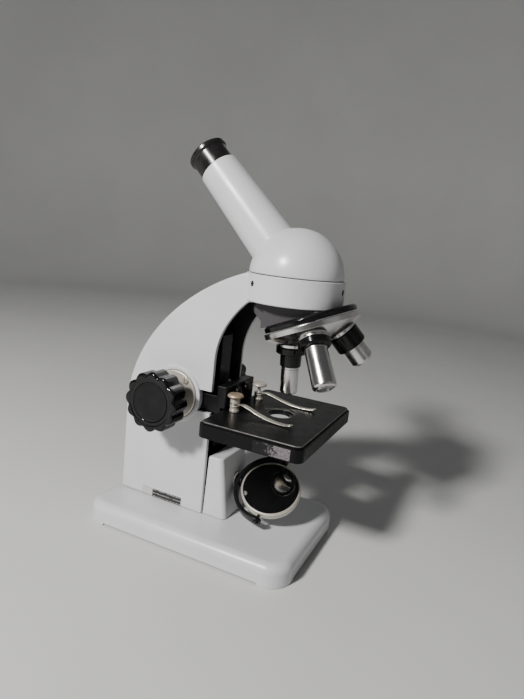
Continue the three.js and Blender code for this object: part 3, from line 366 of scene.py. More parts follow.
class Nodes:
    """A material's node tree, with short ways to add to it."""

    def __init__(self, name):
        self.material = bpy.data.materials.new(name)
        self.material.use_nodes = True
        self.tree = self.material.node_tree
        self.shader = self.tree.nodes["Principled BSDF"]
        self.place = self.add("ShaderNodeTexCoord").outputs["Object"]

    def add(self, kind, **values):
        node = self.tree.nodes.new(kind)
        for key, value in values.items():
            setattr(node, key, value)
        return node

    def link(self, source, target):
        self.tree.links.new(source, target)

    def along(self, axis):
        """How far a point lies along X, Y or Z, in metres."""
        split = self.add("ShaderNodeSeparateXYZ")
        self.link(self.place, split.inputs["Vector"])
        return split.outputs[axis]

    def mapped(self, scale=(1, 1, 1), location=(0, 0, 0)):
        mapping = self.add("ShaderNodeMapping")
        mapping.inputs["Scale"].default_value = scale
        mapping.inputs["Location"].default_value = location
        self.link(self.place, mapping.inputs["Vector"])
        return mapping.outputs["Vector"]

    def noise(self, scale, detail=3, roughness=0.55, at=None, distortion=0):
        noise = self.add("ShaderNodeTexNoise")
        noise.inputs["Scale"].default_value = scale
        noise.inputs["Detail"].default_value = detail
        noise.inputs["Roughness"].default_value = roughness
        noise.inputs["Distortion"].default_value = distortion
        self.link(at or self.place, noise.inputs["Vector"])
        return noise.outputs["Fac"]

    def spread(self, value, low, high, start=0.0, end=1.0):
        """value between low and high, spread over start to end."""
        ranged = self.add("ShaderNodeMapRange")
        for key, number in (("From Min", low), ("From Max", high), ("To Min", start), ("To Max", end)):
            ranged.inputs[key].default_value = number
        self.link(value, ranged.inputs["Value"])
        return ranged.outputs["Result"]

    def mix(self, factor, a, b):
        """A colour between a and b. Each is a colour or an output."""
        mix = self.add("ShaderNodeMix", data_type="RGBA")
        for socket, value in ((mix.inputs[0], factor), (mix.inputs[6], a), (mix.inputs[7], b)):
            if isinstance(value, bpy.types.NodeSocket):
                self.link(value, socket)
            elif socket == mix.inputs[0]:
                socket.default_value = value
            else:
                socket.default_value = (*value, 1)
        return mix.outputs[2]

    def math(self, operation, a, b=0.5):
        node = self.add("ShaderNodeMath", operation=operation)
        for socket, value in ((node.inputs[0], a), (node.inputs[1], b)):
            if isinstance(value, bpy.types.NodeSocket):
                self.link(value, socket)
            else:
                socket.default_value = value
        return node.outputs[0]

    def bump(self, height, strength, depth, after=None):
        bump = self.add("ShaderNodeBump")
        bump.inputs["Strength"].default_value = strength
        bump.inputs["Distance"].default_value = depth * MM
        self.link(height, bump.inputs["Height"])
        if after:
            self.link(after, bump.inputs["Normal"])
        return bump.outputs["Normal"]

    def set(self, **values):
        for key, value in values.items():
            socket = self.shader.inputs[key.replace("_", " ")]
            if isinstance(value, bpy.types.NodeSocket):
                self.link(value, socket)
            elif isinstance(value, tuple):
                socket.default_value = (*value, 1)
            else:
                socket.default_value = value
        return self.material


def enamel(name, colour, shade, rough, grain=0.012):
    """Sprayed and baked paint: faint clouds in the colour, orange peel, and a few specks of dirt."""
    n = Nodes(name)
    clouds = n.spread(n.noise(28, 4), 0.35, 0.68)
    base = n.mix(clouds, colour, shade)
    specks = n.spread(n.noise(620, 2, 0.7), 0.735, 0.76, 0, 0.4)
    base = n.mix(specks, base, tuple(0.35 * c for c in colour))
    gloss = n.spread(n.noise(90, 5, 0.6), 0.3, 0.7, *rough)
    peel = n.bump(n.noise(900, 2, 0.4), 0.35, grain)
    fine = n.bump(n.noise(4200, 2, 0.5), 0.25, grain / 3, peel)
    return n.set(Base_Color=base, Roughness=gloss, Normal=fine, Specular_IOR_Level=0.5)


def textured_black(name, colour, shade, rough, scale=2300, relief=0.05, shine=0.3, edge=None):
    """Black paint with a fine wrinkle, rubbed paler in patches, and, if edge is given, paler between two
    heights: part wear and part painted highlight along the edge.
    """
    n = Nodes(name)
    wrinkle = n.noise(scale, 3, 0.6, distortion=0.3)
    rubbed = n.spread(n.noise(70, 5, 0.65), 0.46, 0.72)
    base = n.mix(n.math("MULTIPLY", rubbed, n.spread(wrinkle, 0.4, 0.65)), colour, shade)
    if edge:
        height = n.along("Z")
        low, high = edge
        step = (high - low) / 4
        above = n.spread(height, low, low + step)
        below = n.spread(height, high - step, high, 1, 0)
        patchy = n.spread(n.noise(210, 4, 0.7), 0.35, 0.6, 0.3, 1)
        # Between the two heights the paint goes paler: part rubbed wear, part painted highlight of the edge.
        worn = n.math("MULTIPLY", n.math("MULTIPLY", above, below), patchy)
        base = n.mix(worn, base, (0.13, 0.125, 0.12))
    gloss = n.spread(n.noise(160, 4), 0.3, 0.7, *rough)
    n.set(Base_Color=base, Roughness=gloss, Specular_IOR_Level=shine)
    return n.set(Normal=n.bump(wrinkle, 0.45, relief))


def metal(name, colour, tarnish, rough, grain=(1, 1, 1), lines=900, relief=0.004, patches=55, plating=1.0):
    """Plated or turned metal: tarnish in patches, and fine lines across the stretched direction."""
    n = Nodes(name)
    age = n.spread(n.noise(patches, 5, 0.6), 0.42, 0.75)
    strokes = n.noise(lines, 4, 0.6, at=n.mapped(scale=grain))
    base = n.mix(age, colour, tarnish)
    base = n.mix(n.spread(strokes, 0.35, 0.7, 0, 0.25), base, tarnish)
    worn = n.math("ADD", n.spread(age, 0, 1, 0, 0.12), n.spread(strokes, 0.3, 0.7, *rough))
    return n.set(Base_Color=base, Metallic=plating, Roughness=worn, Normal=n.bump(strokes, 0.3, relief))


def moulded(name, colour, shade, rough, relief=0.006, grain=1500, coat=0.0, shine=0.4):
    """Moulded plastic: nearly even colour, faint flow marks, scuffs in the gloss and dust."""
    n = Nodes(name)
    base = n.mix(n.spread(n.noise(120, 4), 0.4, 0.7), colour, shade)
    dust = n.spread(n.noise(1500, 2, 0.8), 0.71, 0.78, 0, 0.35)
    base = n.mix(dust, base, (0.32, 0.31, 0.30))
    gloss = n.spread(n.noise(240, 5, 0.7, distortion=0.4), 0.35, 0.72, *rough)
    bumps = n.bump(n.noise(grain, 3, 0.5), 0.3, relief)
    n.set(Base_Color=base, Roughness=gloss, Normal=bumps, Specular_IOR_Level=shine)
    return n.set(Coat_Weight=coat, Coat_Roughness=0.08)


def clear(name, tint, rough=0.02):
    """Coated optical glass with a trace of dust on it."""
    n = Nodes(name)
    dust = n.spread(n.noise(900, 3, 0.7), 0.62, 0.8, 0, 0.5)
    colour = n.mix(dust, tint, (0.55, 0.57, 0.56))
    gloss = n.spread(n.noise(300, 3), 0.4, 0.8, rough, rough + 0.1)
    n.set(Base_Color=colour, Roughness=gloss, Transmission_Weight=0.9, IOR=1.52)
    return n.set(Coat_Weight=0.4, Coat_Roughness=0.02)


def silvered(name, colour, haze):
    """Mirror glass: a clean reflection under thin haze and dust."""
    n = Nodes(name)
    film = n.spread(n.noise(85, 5, 0.7), 0.5, 0.85, 0, 0.5)
    specks = n.spread(n.noise(1300, 2, 0.8), 0.72, 0.76, 0, 0.6)
    base = n.mix(n.math("MAXIMUM", film, specks), colour, haze)
    gloss = n.spread(n.noise(60, 4), 0.35, 0.75, 0.015, 0.09)
    return n.set(Base_Color=base, Metallic=1.0, Roughness=gloss, Coat_Weight=0.5, Coat_Roughness=0.02)


def turned_metal(name, colour, tarnish, rough, centre, direction="Y", pitch=420):
    """A faced disc: rings left by the tool about the axis through centre, in metres."""
    n = Nodes(name)
    at = n.mapped(location=tuple(-c for c in centre))
    wave = n.add("ShaderNodeTexWave", wave_type="RINGS", rings_direction=direction)
    wave.inputs["Scale"].default_value = pitch
    wave.inputs["Distortion"].default_value = 1.5
    wave.inputs["Detail"].default_value = 3
    n.link(at, wave.inputs["Vector"])
    rings = wave.outputs["Fac"]
    age = n.spread(n.noise(90, 5, 0.65), 0.4, 0.75)
    base = n.mix(age, colour, tarnish)
    gloss = n.math("ADD", n.spread(rings, 0, 1, *rough), n.spread(age, 0, 1, 0, 0.1))
    return n.set(Base_Color=base, Metallic=0.6, Roughness=gloss, Normal=n.bump(rings, 0.15, 0.01))


PAINT = enamel("grey_paint", (0.568, 0.570, 0.585), (0.533, 0.535, 0.552), (0.27, 0.37))
INSIDE = enamel("inside_black", (0.016, 0.016, 0.018), (0.024, 0.024, 0.026), (0.38, 0.55), 0.02)
MACHINE_BLACK = textured_black(
    "machine_black", (0.004, 0.004, 0.0046), (0.012, 0.012, 0.013), (0.24, 0.38), 1500, 0.02, 0.25
)
# The nosepiece wedge is the pale grey casting lying in shade under the collar: its shade is painted into this
# dark grey.
WEDGE_PAINTED_SHADE = textured_black(
    "wedge_painted_shade", (0.05, 0.046, 0.051), (0.075, 0.07, 0.077), (0.32, 0.45), 1500, 0.01
)
GLOSS_BLACK = moulded(
    "gloss_black", (0.003, 0.003, 0.0034), (0.006, 0.006, 0.0064), (0.1, 0.2), coat=0.1, shine=0.25
)
CAP_BLACK = moulded(
    "cap_grey", (0.009, 0.009, 0.0094), (0.013, 0.013, 0.0135), (0.6, 0.75), 0.03, 3200, shine=0.12
)
EYE_BLACK = moulded(
    "eyepiece_black", (0.007, 0.006, 0.006), (0.013, 0.012, 0.012), (0.2, 0.32), 0.008, 1800, 0.2
)
CHROME = metal("chrome", (0.68, 0.665, 0.66), (0.50, 0.48, 0.46), (0.13, 0.2), (1, 1, 8), 500, 0.001)
NICKEL = metal("nickel", (0.72, 0.68, 0.60), (0.56, 0.50, 0.42), (0.24, 0.36), lines=1800, plating=0.65)
SPRING = metal(
    "spring_steel", (0.60, 0.58, 0.50), (0.40, 0.38, 0.31), (0.20, 0.32), (1, 14, 1), 700, 0.02, plating=0.85
)
BRONZE = metal("bronze", (0.62, 0.50, 0.37), (0.42, 0.31, 0.22), (0.28, 0.42), lines=1600, plating=0.7)
BRASS = metal("gear_brass", (0.70, 0.53, 0.26), (0.45, 0.32, 0.14), (0.25, 0.38), (1, 12, 1))
STEEL = metal("steel", (0.50, 0.49, 0.48), (0.34, 0.32, 0.30), (0.25, 0.38), (1, 10, 1))
GLASS = clear("optical_glass", (0.80, 0.90, 0.92))
SILVER = silvered("mirror_silver", (0.86, 0.88, 0.89), (0.60, 0.60, 0.58))
KNOB_CENTRE = [c * MM for c in FOCUS]
FACED = turned_metal("faced_nickel", (0.74, 0.69, 0.62), (0.60, 0.53, 0.46), (0.28, 0.4), KNOB_CENTRE)

# ---- base

EDGE, CORNER, BASE_WALL, FOOT, FOOT_REACH = 6, 14.5, 2.6, 1.7, 17
base_half = (BASE_HIGH - BASE_LOW) / 2


def base_shape():
    def ring(inset, z):
        x, y = base_half.x - inset, base_half.y - inset
        corner = max(CORNER - inset, 1)
        return [Vector((p.x, p.y, z)) for p in rounded_rectangle(-x, x, -y, y, corner)]

    top = BASE_HIGH.z
    shoulder = top - EDGE
    steps = [(7.5, top - BASE_WALL), (4.6, top - 3.4), (BASE_WALL, shoulder), (BASE_WALL, FOOT + 0.2)]
    steps += [(BASE_WALL - 0.2, FOOT - 0.2), (0.2, FOOT - 0.2), (0, FOOT)]
    for i in range(11):
        angle = math.pi / 2 * i / 10
        steps.append((EDGE * (1 - math.cos(angle)), shoulder + EDGE * math.sin(angle)))
    parts = [skin([ring(*step) for step in steps])]
    for sx in (-1, 1):
        for sy in (-1, 1):
            x, y = base_half.x * sx, base_half.y * sy
            inner = (x - sx * FOOT_REACH, y - sy * FOOT_REACH)
            bend = [math.pi / 2 * i / 10 for i in range(11)]
            outline = [
                (x - sx * CORNER * (1 - math.sin(a)), y - sy * CORNER * (1 - math.cos(a))) for a in bend
            ]
            outline = rounded([*outline, (x, inner[1]), (*inner, 3), (inner[0], y)])
            parts.append(slab(outline, 0, FOOT, 0.5, top_edge=0))
    return joined(*parts)


piece("base", base_shape(), PAINT, "frame", ["base_shell"], place=ON_BASE)

# ---- arm and collar

ARM_LOW, ARM_HIGH = box("arm_casting")
ARM_HALF, ARM_WALL, ARM_FRONT = 20.8, 2.6, 0.3
COLLAR_LOW, COLLAR_TOP, COLLAR_BORE = 164.3, HEAD.z, 24.6
COLLAR_RADIUS = ARM_HIGH.y
BOSS_RADIUS, BOSS_FACE, RECESS_RADIUS, HUB_RADIUS = 19.3, 22.3, 16.7, 7.8
SET_SCREW_Z, SET_SCREW_ANGLES = 175.2, {"front": 0, "near": -125, "far": 125}
PLATE_RADIUS, PLATE_TOP, LIGHT_HOLE = 29.7, 4.4, 9
knob_x = FOCUS.x - BASE_X
arm_rear = ARM_LOW.x - BASE_X
optical = OPTICAL_X - BASE_X


def arm_spine(inset, steps=44):
    start = (arm_rear + inset, 78)
    return bezier(
        start,
        (start[0], 131 - inset),
        (-20.8 + 0.8 * inset, 168.3 - 0.9 * inset),
        (17 + inset, COLLAR_TOP - 1.2 * inset),
        steps,
    )


def arm_shape():
    foot = ARM_LOW.z
    spine = arm_spine(0)
    outline = [(arm_rear, foot), *spine, (30, COLLAR_TOP), (30, COLLAR_LOW), (19.8, 163.1)]
    outline += bezier((19.8, 163.1), (8, 152), (ARM_FRONT, 138), (ARM_FRONT, 122), 26)[1:]
    outline.append((ARM_FRONT, foot))
    edges = [2.2] * (1 + len(spine)) + [0.5] * (len(outline) - 1 - len(spine))
    body = moved(slab(outline, -ARM_HALF, ARM_HALF, edges=edges, steps=5), ALONG_Y)
    inner = [(arm_rear + ARM_WALL, foot + 4), *arm_spine(ARM_WALL), (40, COLLAR_TOP - 3), (40, foot + 4)]
    half = ARM_HALF - ARM_WALL
    channel = moved(slab(inner, -half, half, edge=1.2), ALONG_Y)
    outer = [(COLLAR_RADIUS, COLLAR_LOW, 0.9), (COLLAR_RADIUS, COLLAR_TOP, 0.45)]
    collar = lathe([(0, COLLAR_LOW), *outer, (0, COLLAR_TOP)], 160)
    cup = lathe(
        [
            (0, COLLAR_LOW - 2),
            (9, COLLAR_LOW - 2),
            (9, COLLAR_LOW + 3),
            (COLLAR_BORE, COLLAR_LOW + 3),
            (COLLAR_BORE, COLLAR_TOP + 1),
            (0, COLLAR_TOP + 1),
        ],
        96,
    )
    work = [
        (CUT, channel, INSIDE),
        (ADD, moved(collar, shift(optical))),
        (CUT, moved(cup, shift(optical)), INSIDE),
        (CUT, moved(drum(PLATE_RADIUS + 0.6, -14, PLATE_TOP + 0.3, 128), ON_TURRET, ON_BASE.inverted())),
    ]
    for _, sign in SIDES:
        across = sorted((sign * (half - 1), sign * (ARM_HALF + 1)))
        work.append((CUT, block((-20, 5), across, (86.5, 101.3), 0.3), PAINT))
        out = turn(-90 * sign, "X")
        boss = lathe(
            [
                (HUB_RADIUS, half + 0.1),
                (BOSS_RADIUS, half + 0.1),
                (BOSS_RADIUS, BOSS_FACE, 0.8),
                (RECESS_RADIUS, BOSS_FACE, 0.5),
                (RECESS_RADIUS, ARM_HALF, 0.3),
                (HUB_RADIUS, ARM_HALF),
            ],
            96,
        )
        work.append((ADD, moved(boss, out, shift(knob_x, 0, FOCUS.z))))
    hub = moved(drum(HUB_RADIUS, -40, 40, 48), ALONG_Y, shift(knob_x, 0, FOCUS.z))
    work.append((CUT, hub, INSIDE))
    for angle in SET_SCREW_ANGLES.values():
        hole = moved(
            drum(1.8, COLLAR_BORE - 2, 40, 24), ALONG_X, turn(angle, "Z"), shift(optical, 0, SET_SCREW_Z)
        )
        work.append((CUT, hole, INSIDE))
    return combined(body, *work, material=PAINT)


piece("arm", arm_shape(), PAINT, "frame", ["arm_casting"], place=ON_BASE, angle=28)

for name, angle in SET_SCREW_ANGLES.items():
    outer = COLLAR_RADIUS - 0.6
    screw = [(0, 24.9), (1.6, 24.9), (1.6, outer, 0.3), (0, outer)]
    slot = block((-0.35, 0.35), (-3, 3), (outer - 0.9, outer + 1), 0.05)
    place = shift(OPTICAL_X, 0, SET_SCREW_Z) @ turn(angle, "Z") @ ALONG_X
    shape = slotted(screw, 24, slot, STEEL)
    piece(f"set_screw_{name}_turned", shape, STEEL, "frame", [f"set_screw_{name}"], place=place)

# ---- pillar, rail and nosepiece wedge


def pillar_shape():
    low, high = ARM_LOW.z, 56
    rise = 1.3

    def ring(part, inset):
        z = low + (high - low) * part
        front, side = 18.5 - 7.2 * part - inset, 19.5 - 2 * part - inset
        corners = [(1 + inset, -side, 0.7), (front, -side, 3.4), (front, side, 3.4), (1 + inset, side, 0.7)]
        return [Vector((p.x, p.y, z)) for p in rounded(corners, steps=6)]

    rings = [ring(0, 0.3), ring(0.3 / (high - low), 0)]
    for i in range(7):
        angle = math.pi / 2 * i / 6
        rings.append(ring(1 - rise * (1 - math.sin(angle)) / (high - low), rise * (1 - math.cos(angle))))
    pad = lathe([(0, 8), (5.2, 8), (5.2, 15.6, 0.5), (0, 15.6)], 48)
    return joined(skin(rings), moved(pad, ALONG_X, shift(z=FORK.z)))


piece("pillar", pillar_shape(), PAINT, "frame", ["mirror_pillar"], place=ON_BASE)

rail_low = box("guide_rail")[0].z
rail_top = box("guide_rail")[1].z
rail_foot = block((-22, -2), (-12, 12), (rail_low, rail_low + 5))
rail = joined(block((-9, -2), (-7, 7), (rail_low, rail_top), 0.6), rail_foot)
piece("rail", rail, MACHINE_BLACK, "frame", ["guide_rail"], place=ON_BASE)


def wedge_shape():
    body = slab(rounded_rectangle(20, 74, -21, 21, 12, 12), 125, COLLAR_LOW - 0.3, 0.5)
    body = moved(body, ON_BASE)
    below = moved(block((-60, 60), (-60, 60), (-60, PLATE_TOP + 0.3)), ON_TURRET)
    rear = [(0, 120), (31, 120), (28.5, 152.5), (19, COLLAR_LOW - 3), (19, 170), (0, 170)]
    cut = moved(slab(rear, -40, 40, 0.05), ALONG_Y, ON_BASE)
    light = moved(drum(LIGHT_HOLE, 120, 170), shift(OPTICAL_X))
    work = [(CUT, below), (CUT, cut), (CUT, light)]
    for _, sign in SIDES:
        beside = sorted((sign * 17.6, sign * 40))
        work.append((CUT, moved(block((0, 31), beside, (120, 170)), ON_BASE)))
    return combined(body, *work, material=WEDGE_PAINTED_SHADE)


# The wedge's dark grey is painted shade on the grey casting.
piece("nosepiece_wedge", wedge_shape(), WEDGE_PAINTED_SHADE, "frame", ["nosepiece_mount"], angle=30)

# ---- focus drive

BEARING_RADIUS, BEARING_FACE, BEARING_BACK, SHAFT_HOLE = 16.4, 23.6, 20.85, 3.2
SCREW_CIRCLE, SCREW_ANGLES = 14.2, (53.5, 233.5)
GRIP, GRIP_BACK, GRIP_FACE, GRIP_COLLAR, GRIP_BORE = 19.6, 35, 50, 9.5, 3.05
LOBES, LOBE_DEPTH, CAP_RADIUS, CAP_FACE = 12, 1.9, 12.6, 49.75


def scallops(angle, r, z):
    """How far the grip's outline is cut in: round lobes with a sharp dip between each two."""
    crest = (0.5 + 0.5 * math.cos(LOBES * angle)) ** 0.65
    reach = min(1, max(0, (r - 15.8) / 2.2))
    return LOBE_DEPTH * (1 - crest) * reach * reach * (3 - 2 * reach)


for name, sign in SIDES:
    side = shift(FOCUS.x, 0, FOCUS.z) @ turn(-90 * sign, "X")
    disc = [(SHAFT_HOLE, 16.2), (7.6, 16.2), (7.6, BEARING_BACK), (BEARING_RADIUS, BEARING_BACK, 0.2)]
    disc += [(BEARING_RADIUS, BEARING_FACE, 0.6), (SHAFT_HOLE, BEARING_FACE, 0.3)]
    piece(f"bearing_{name}", lathe(disc), FACED, "frame", [f"bearing_plate_{name}"], place=side)
    for i, angle in enumerate(SCREW_ANGLES, 1):
        screw = [(0, -5), (1.2, -5, 0.2), (1.2, 0.05), (2.3, 0.05, 0.1), (2.3, 1.3, 0.45), (0, 1.3)]
        slot = moved(block((-3, 3), (-0.35, 0.35), (0.65, 3), 0.05), turn(25 + 60 * i, "Z"))
        x = FOCUS.x + SCREW_CIRCLE * math.cos(math.radians(angle))
        z = FOCUS.z + SCREW_CIRCLE * math.sin(math.radians(angle))
        place = shift(x, sign * BEARING_FACE, z) @ turn(-90 * sign, "X")
        shape = slotted(screw, 40, slot, NICKEL)
        node = f"bearing_screw_{name}_{i}"
        piece(f"{node}_slotted", shape, NICKEL, "frame", [node], place=place)
    grip = [
        (GRIP_BORE, BEARING_FACE + 2),
        (GRIP_COLLAR, BEARING_FACE + 2, 0.8),
        (GRIP_COLLAR, GRIP_BACK, 0.6),
        (GRIP - 2.2, GRIP_BACK, 0.8),
        (GRIP, GRIP_BACK + 1.8, 1.2),
        (GRIP, GRIP_FACE, 2.4),
        (GRIP - 4, GRIP_FACE, 0.5),
        (CAP_RADIUS + 2.3, GRIP_FACE - 0.4, 0.4),
        (CAP_RADIUS + 0.3, GRIP_FACE - 0.4, 0.3),
        (CAP_RADIUS + 0.2, GRIP_FACE - 2.2),
        (GRIP_BORE, GRIP_FACE - 2.2),
    ]
    knob = lathe(grip, 288, 6, wave=scallops)
    node = f"focus_knob_{name}"
    piece(f"knob_{name}", knob, GLOSS_BLACK, "focus_drive", [node], place=side)
    cap = [(0, 48.1), (CAP_RADIUS, 48.1), (CAP_RADIUS, CAP_FACE, 0.35), (CAP_RADIUS - 1, CAP_FACE, 0.2)]
    cap += [(CAP_RADIUS - 1.3, CAP_FACE - 0.2, 0.2), (0, CAP_FACE - 0.2)]
    piece(f"cap_{name}", lathe(cap), CAP_BLACK, "focus_drive", [f"knob_cap_{name}"], place=side)

# ---- stage

STAGE_LOW, STAGE_HIGH = box("stage_plate")
# The band along the stage's top edge is painted paler: part wear, part painted highlight.
STAGE_WEAR_AND_HIGHLIGHT = ((STAGE_HIGH.z - 0.7) * MM, (STAGE_HIGH.z - 0.02) * MM)
STAGE_BLACK = textured_black(
    "stage_black", (0.003, 0.003, 0.0034), (0.010, 0.0096, 0.010), (0.26, 0.4), shine=0.15, edge=STAGE_WEAR_AND_HIGHLIGHT
)
STAGE_CORNER, HOLE_RADIUS = 5.5, 9.6


def stage_shape():
    def ring(inset, z):
        corner = max(STAGE_CORNER - inset, 0.8)
        flat = rounded_rectangle(
            STAGE_LOW.x + inset, STAGE_HIGH.x - inset, STAGE_LOW.y + inset, STAGE_HIGH.y - inset, corner
        )
        return [Vector((p.x, p.y, z)) for p in flat]

    low, top = STAGE_LOW.z, STAGE_HIGH.z
    steps = [(3.6, top - 3), (2.8, top - 3.5), (2.8, low + 0.3), (2.5, low), (0.4, low), (0.1, low + 0.15)]
    steps += [(0, low + 0.5), (0, top - 2.1), (0.12, top - 1.8), (0.4, top - 1.65), (0.85, top - 1.65)]
    steps += [(0.9, top - 2.1), (1.35, top - 2.1), (1.4, top - 0.7), (1.6, top - 0.25), (2.0, top - 0.05)]
    steps += [(2.6, top)]
    body = skin([ring(*step) for step in steps])
    hole = lathe(
        [
            (0, low - 1),
            (HOLE_RADIUS, low - 1),
            (HOLE_RADIUS, top - 0.3, 0.1),
            (HOLE_RADIUS + 0.6, top + 0.4),
            (0, top + 0.4),
        ],
        96,
    )
    return combined(body, (CUT, moved(hole, shift(OPTICAL_X))), material=STAGE_BLACK)


piece("stage", stage_shape(), STAGE_BLACK, "stage", ["stage_plate"])
top = STAGE_HIGH.z
rim = [(6.8, top - 3), (9.4, top - 3), (9.4, top - 0.3, 0.3), (8.3, top - 0.3, 0.3)]
rim += [(8.0, top - 1.3, 0.3), (6.8, top - 1.7, 0.2)]
piece("light_ring", lathe(rim), GLOSS_BLACK, "stage", ["aperture_ring"], place=shift(OPTICAL_X))


def carrier_shape():
    work = [
        (ADD, block((4, 11), (-20.2, 20.2), (91.6, 106.5), 0.8)),
        (ADD, block((-14.9, -9.3), (-17.4, 17.4), (84, 110.5), 0.8)),
    ]
    for _, sign in SIDES:
        across = sorted((sign * 13.6, sign * 17.4))
        work.append((ADD, block((-14.5, 6), across, (86, 98.5), 0.6)))
    return combined(block((4.02, 7.6), (-20.2, 20.2), (82, 106), 0.6), *work, material=MACHINE_BLACK)


shape = carrier_shape()
piece("carrier", shape, MACHINE_BLACK, "stage", ["stage_carrier"], place=ON_BASE, angle=35)
for name, sign in SIDES:
    head = [(0, 4.6), (1.6, 4.6), (1.6, 11.3), (3.2, 11.3, 0.2)]
    head += [(3.2, 13.4, 0.9), (1.6, 14.4, 0.8), (0, 14.6)]
    slot = block((-4, 4), (-0.4, 0.4), (13.5, 16), 0.05)
    shape = slotted(head, 48, slot, GLOSS_BLACK)
    place = ON_BASE @ shift(0, sign * 6.3, 101.8) @ ALONG_X
    node = f"stage_screw_{name}"
    piece(f"carrier_screw_{name}", shape, GLOSS_BLACK, "stage", [node], place=place)

# ---- stage clips


def catmull(points, per_span=6):
    """A smooth line through points."""
    out = []
    ends = [points[0], *points, points[-1]]
    for i in range(1, len(ends) - 2):
        p0, p1, p2, p3 = (Vector(p) for p in ends[i - 1 : i + 3])
        for j in range(per_span):
            t = j / per_span
            square = (2 * p0 - 5 * p1 + 4 * p2 - p3) * t**2
            cube = (3 * p1 - p0 - 3 * p2 + p3) * t**3
            out.append(0.5 * (2 * p1 + (p2 - p0) * t + square + cube))
    out.append(Vector(points[-1]))
    return out


def leaf_shape():
    rise = 1.1
    knots = [(2.2, 0), (6.5, 0.5), (11, -0.4), (18, -2.4), (26, -4), (34, -4.4), (39.5, -4), (43, -2.9)]
    line = catmull([(x, z + rise) for x, z in knots])
    widths = []
    for p in line:
        root = 1.45 + 0.55 * min(1, max(0, (p.x - 3) / 5))
        left = max(0.0, 43.05 - p.x)
        widths.append(max(0.25, min(root, math.sqrt(max(0, 4 - (2 - min(2, left)) ** 2)))))
    eye = lathe([(1.2, rise - 0.4), (3.2, rise - 0.4, 0.15), (3.2, rise + 0.4, 0.15), (1.2, rise + 0.4)], 48)
    return joined(strap(line, widths, 0.75, 0.3), eye)


SPLAY = {"near": 7, "far": 1.4}
for name, sign in SIDES:
    body = f"clip_{name}"
    place = shift(*joint_at(f"clip_{name}_turn")) @ turn(SPLAY[name] * sign, "Z")
    post = [(0, -8.2), (1.6, -8.2), (1.6, -4.15), (3.25, -4.15, 0.3), (3.2, -2.9, 0.4), (2.95, -2.2, 0.4)]
    post += [(2.95, -0.9, 0.4), (3.25, -0.3, 0.3), (3.25, 0.4, 0.3), (1.1, 0.4), (1.1, 6.2, 0.2), (0, 6.2)]
    piece(f"post_{name}", lathe(post, 48), NICKEL, body, [f"clip_post_{name}"], place=place)
    piece(f"leaf_{name}", leaf_shape(), SPRING, body, [f"spring_clip_{name}"], place=place)
    raised = sign > 0
    under = 5.4 if raised else 5.0
    sleeve = [(0, 5.0), (2, 5.0, 0.2), (2, under + 0.4), (0, under + 0.4)]
    if not raised:
        sleeve = [(0, 1.7), (3.25, 1.7, 0.35), (3.15, 3.2, 0.5), (3.25, 4.6, 0.3)]
        sleeve += [(2.6, under + 0.3), (0, under + 0.3)]
    piece(f"sleeve_{name}", lathe(sleeve, 48), NICKEL, body, place=place)
    crown = [(0, under), (3.6, under, 0.5), (5.2, under + 0.8, 0.5), (5.25, under + 1.7, 0.6)]
    crown += [(4.2, under + 2.7, 0.8), (0, under + 3.1)]
    cap = lathe(crown, 64)
    finish = NICKEL if raised else BRONZE
    slot = "nickel" if raised else "brass"
    piece(f"crown_{name}", cap, finish, body, [f"clip_head_{name}"], place=place)

# ---- turret and objectives

RIM, BAND, DEPTH, DROP, REST = 30.8, 3.4, 14, 33.6, 13.8
plate = [(3.2, 0.6), (PLATE_RADIUS, 0.6, 0.3), (PLATE_RADIUS, PLATE_TOP - 1.2, 0.9)]
plate += [(PLATE_RADIUS - 1.2, PLATE_TOP, 0.8), (3.2, PLATE_TOP)]
light = moved(drum(LIGHT_HOLE, 100, 200), shift(OPTICAL_X), ON_TURRET.inverted())
shape = combined(lathe(plate, 160), (CUT, light), material=GLOSS_BLACK)
piece("fixed_plate", shape, GLOSS_BLACK, "frame", ["turret_plate"], place=ON_TURRET)


def along_objective(k):
    return turn(180 - REST + 120 * k, "Z") @ shift(z=DROP) @ turn(180 - TURRET_TILT, "Y")


THREAD, THREAD_START, BOSS, BOSS_END = 7.6, 43.3, 9.6, 48.6
FLANGE, FLANGE_START = 10.1, 48.9


def dome_shape():
    wall = 1.8
    outside = [(RIM * i / 16, -BAND - (DEPTH - BAND) * (1 - (i / 16) ** 2)) for i in range(17)]
    outside[-1] = (RIM, -BAND, 0.25)
    inside = []
    for i in range(10, -1, -1):
        inside.append(((RIM - wall) * i / 10, -BAND + 0.9 - (DEPTH - BAND - wall) * (1 - (i / 10) ** 2)))
    body = lathe([*outside, (RIM, 0, 0.4), (RIM - wall, 0, 0.2), *inside], 160)
    work = []
    for k in range(3):
        boss = lathe([(0, 43), (BOSS, 43), (BOSS, BOSS_END, 0.6), (0, BOSS_END)], 96)
        shaped = combined(moved(boss, along_objective(k)), (KEEP, drum(RIM - 1, -28, -0.5, 96)))
        clipped = bmesh.new()
        clipped.from_mesh(shaped)
        work.append((ADD, clipped))
    work.append((ADD, drum(6, -12.4, -0.3)))
    for k in range(3):
        work.append((CUT, moved(drum(THREAD + 0.15, 0, 90), along_objective(k))))
        work.append((CUT, moved(drum(FLANGE + 0.3, FLANGE_START - 0.1, 90, 96), along_objective(k))))
    work.append((CUT, drum(3.1, -40, 5)))
    return combined(body, *work, material=CHROME)


piece("dome", dome_shape(), CHROME, "turret", ["turret_dome"], place=ON_TURRET, angle=32)
bolt = [(0, -DEPTH - 3.2), (2.6, -DEPTH - 3.0, 0.6), (5.2, -DEPTH - 1.7, 0.5), (5.4, -DEPTH - 0.3, 0.2)]
bolt += [(2.9, -DEPTH - 0.3), (2.9, PLATE_TOP - 0.3), (0, PLATE_TOP - 0.3)]
slot = block((-8, 8), (-0.5, 0.5), (-30, -DEPTH - 2.2), 0.05)
shape = slotted(bolt, 64, slot, CHROME)
piece("centre_screw", shape, CHROME, "turret", ["turret_screw"], place=ON_TURRET)

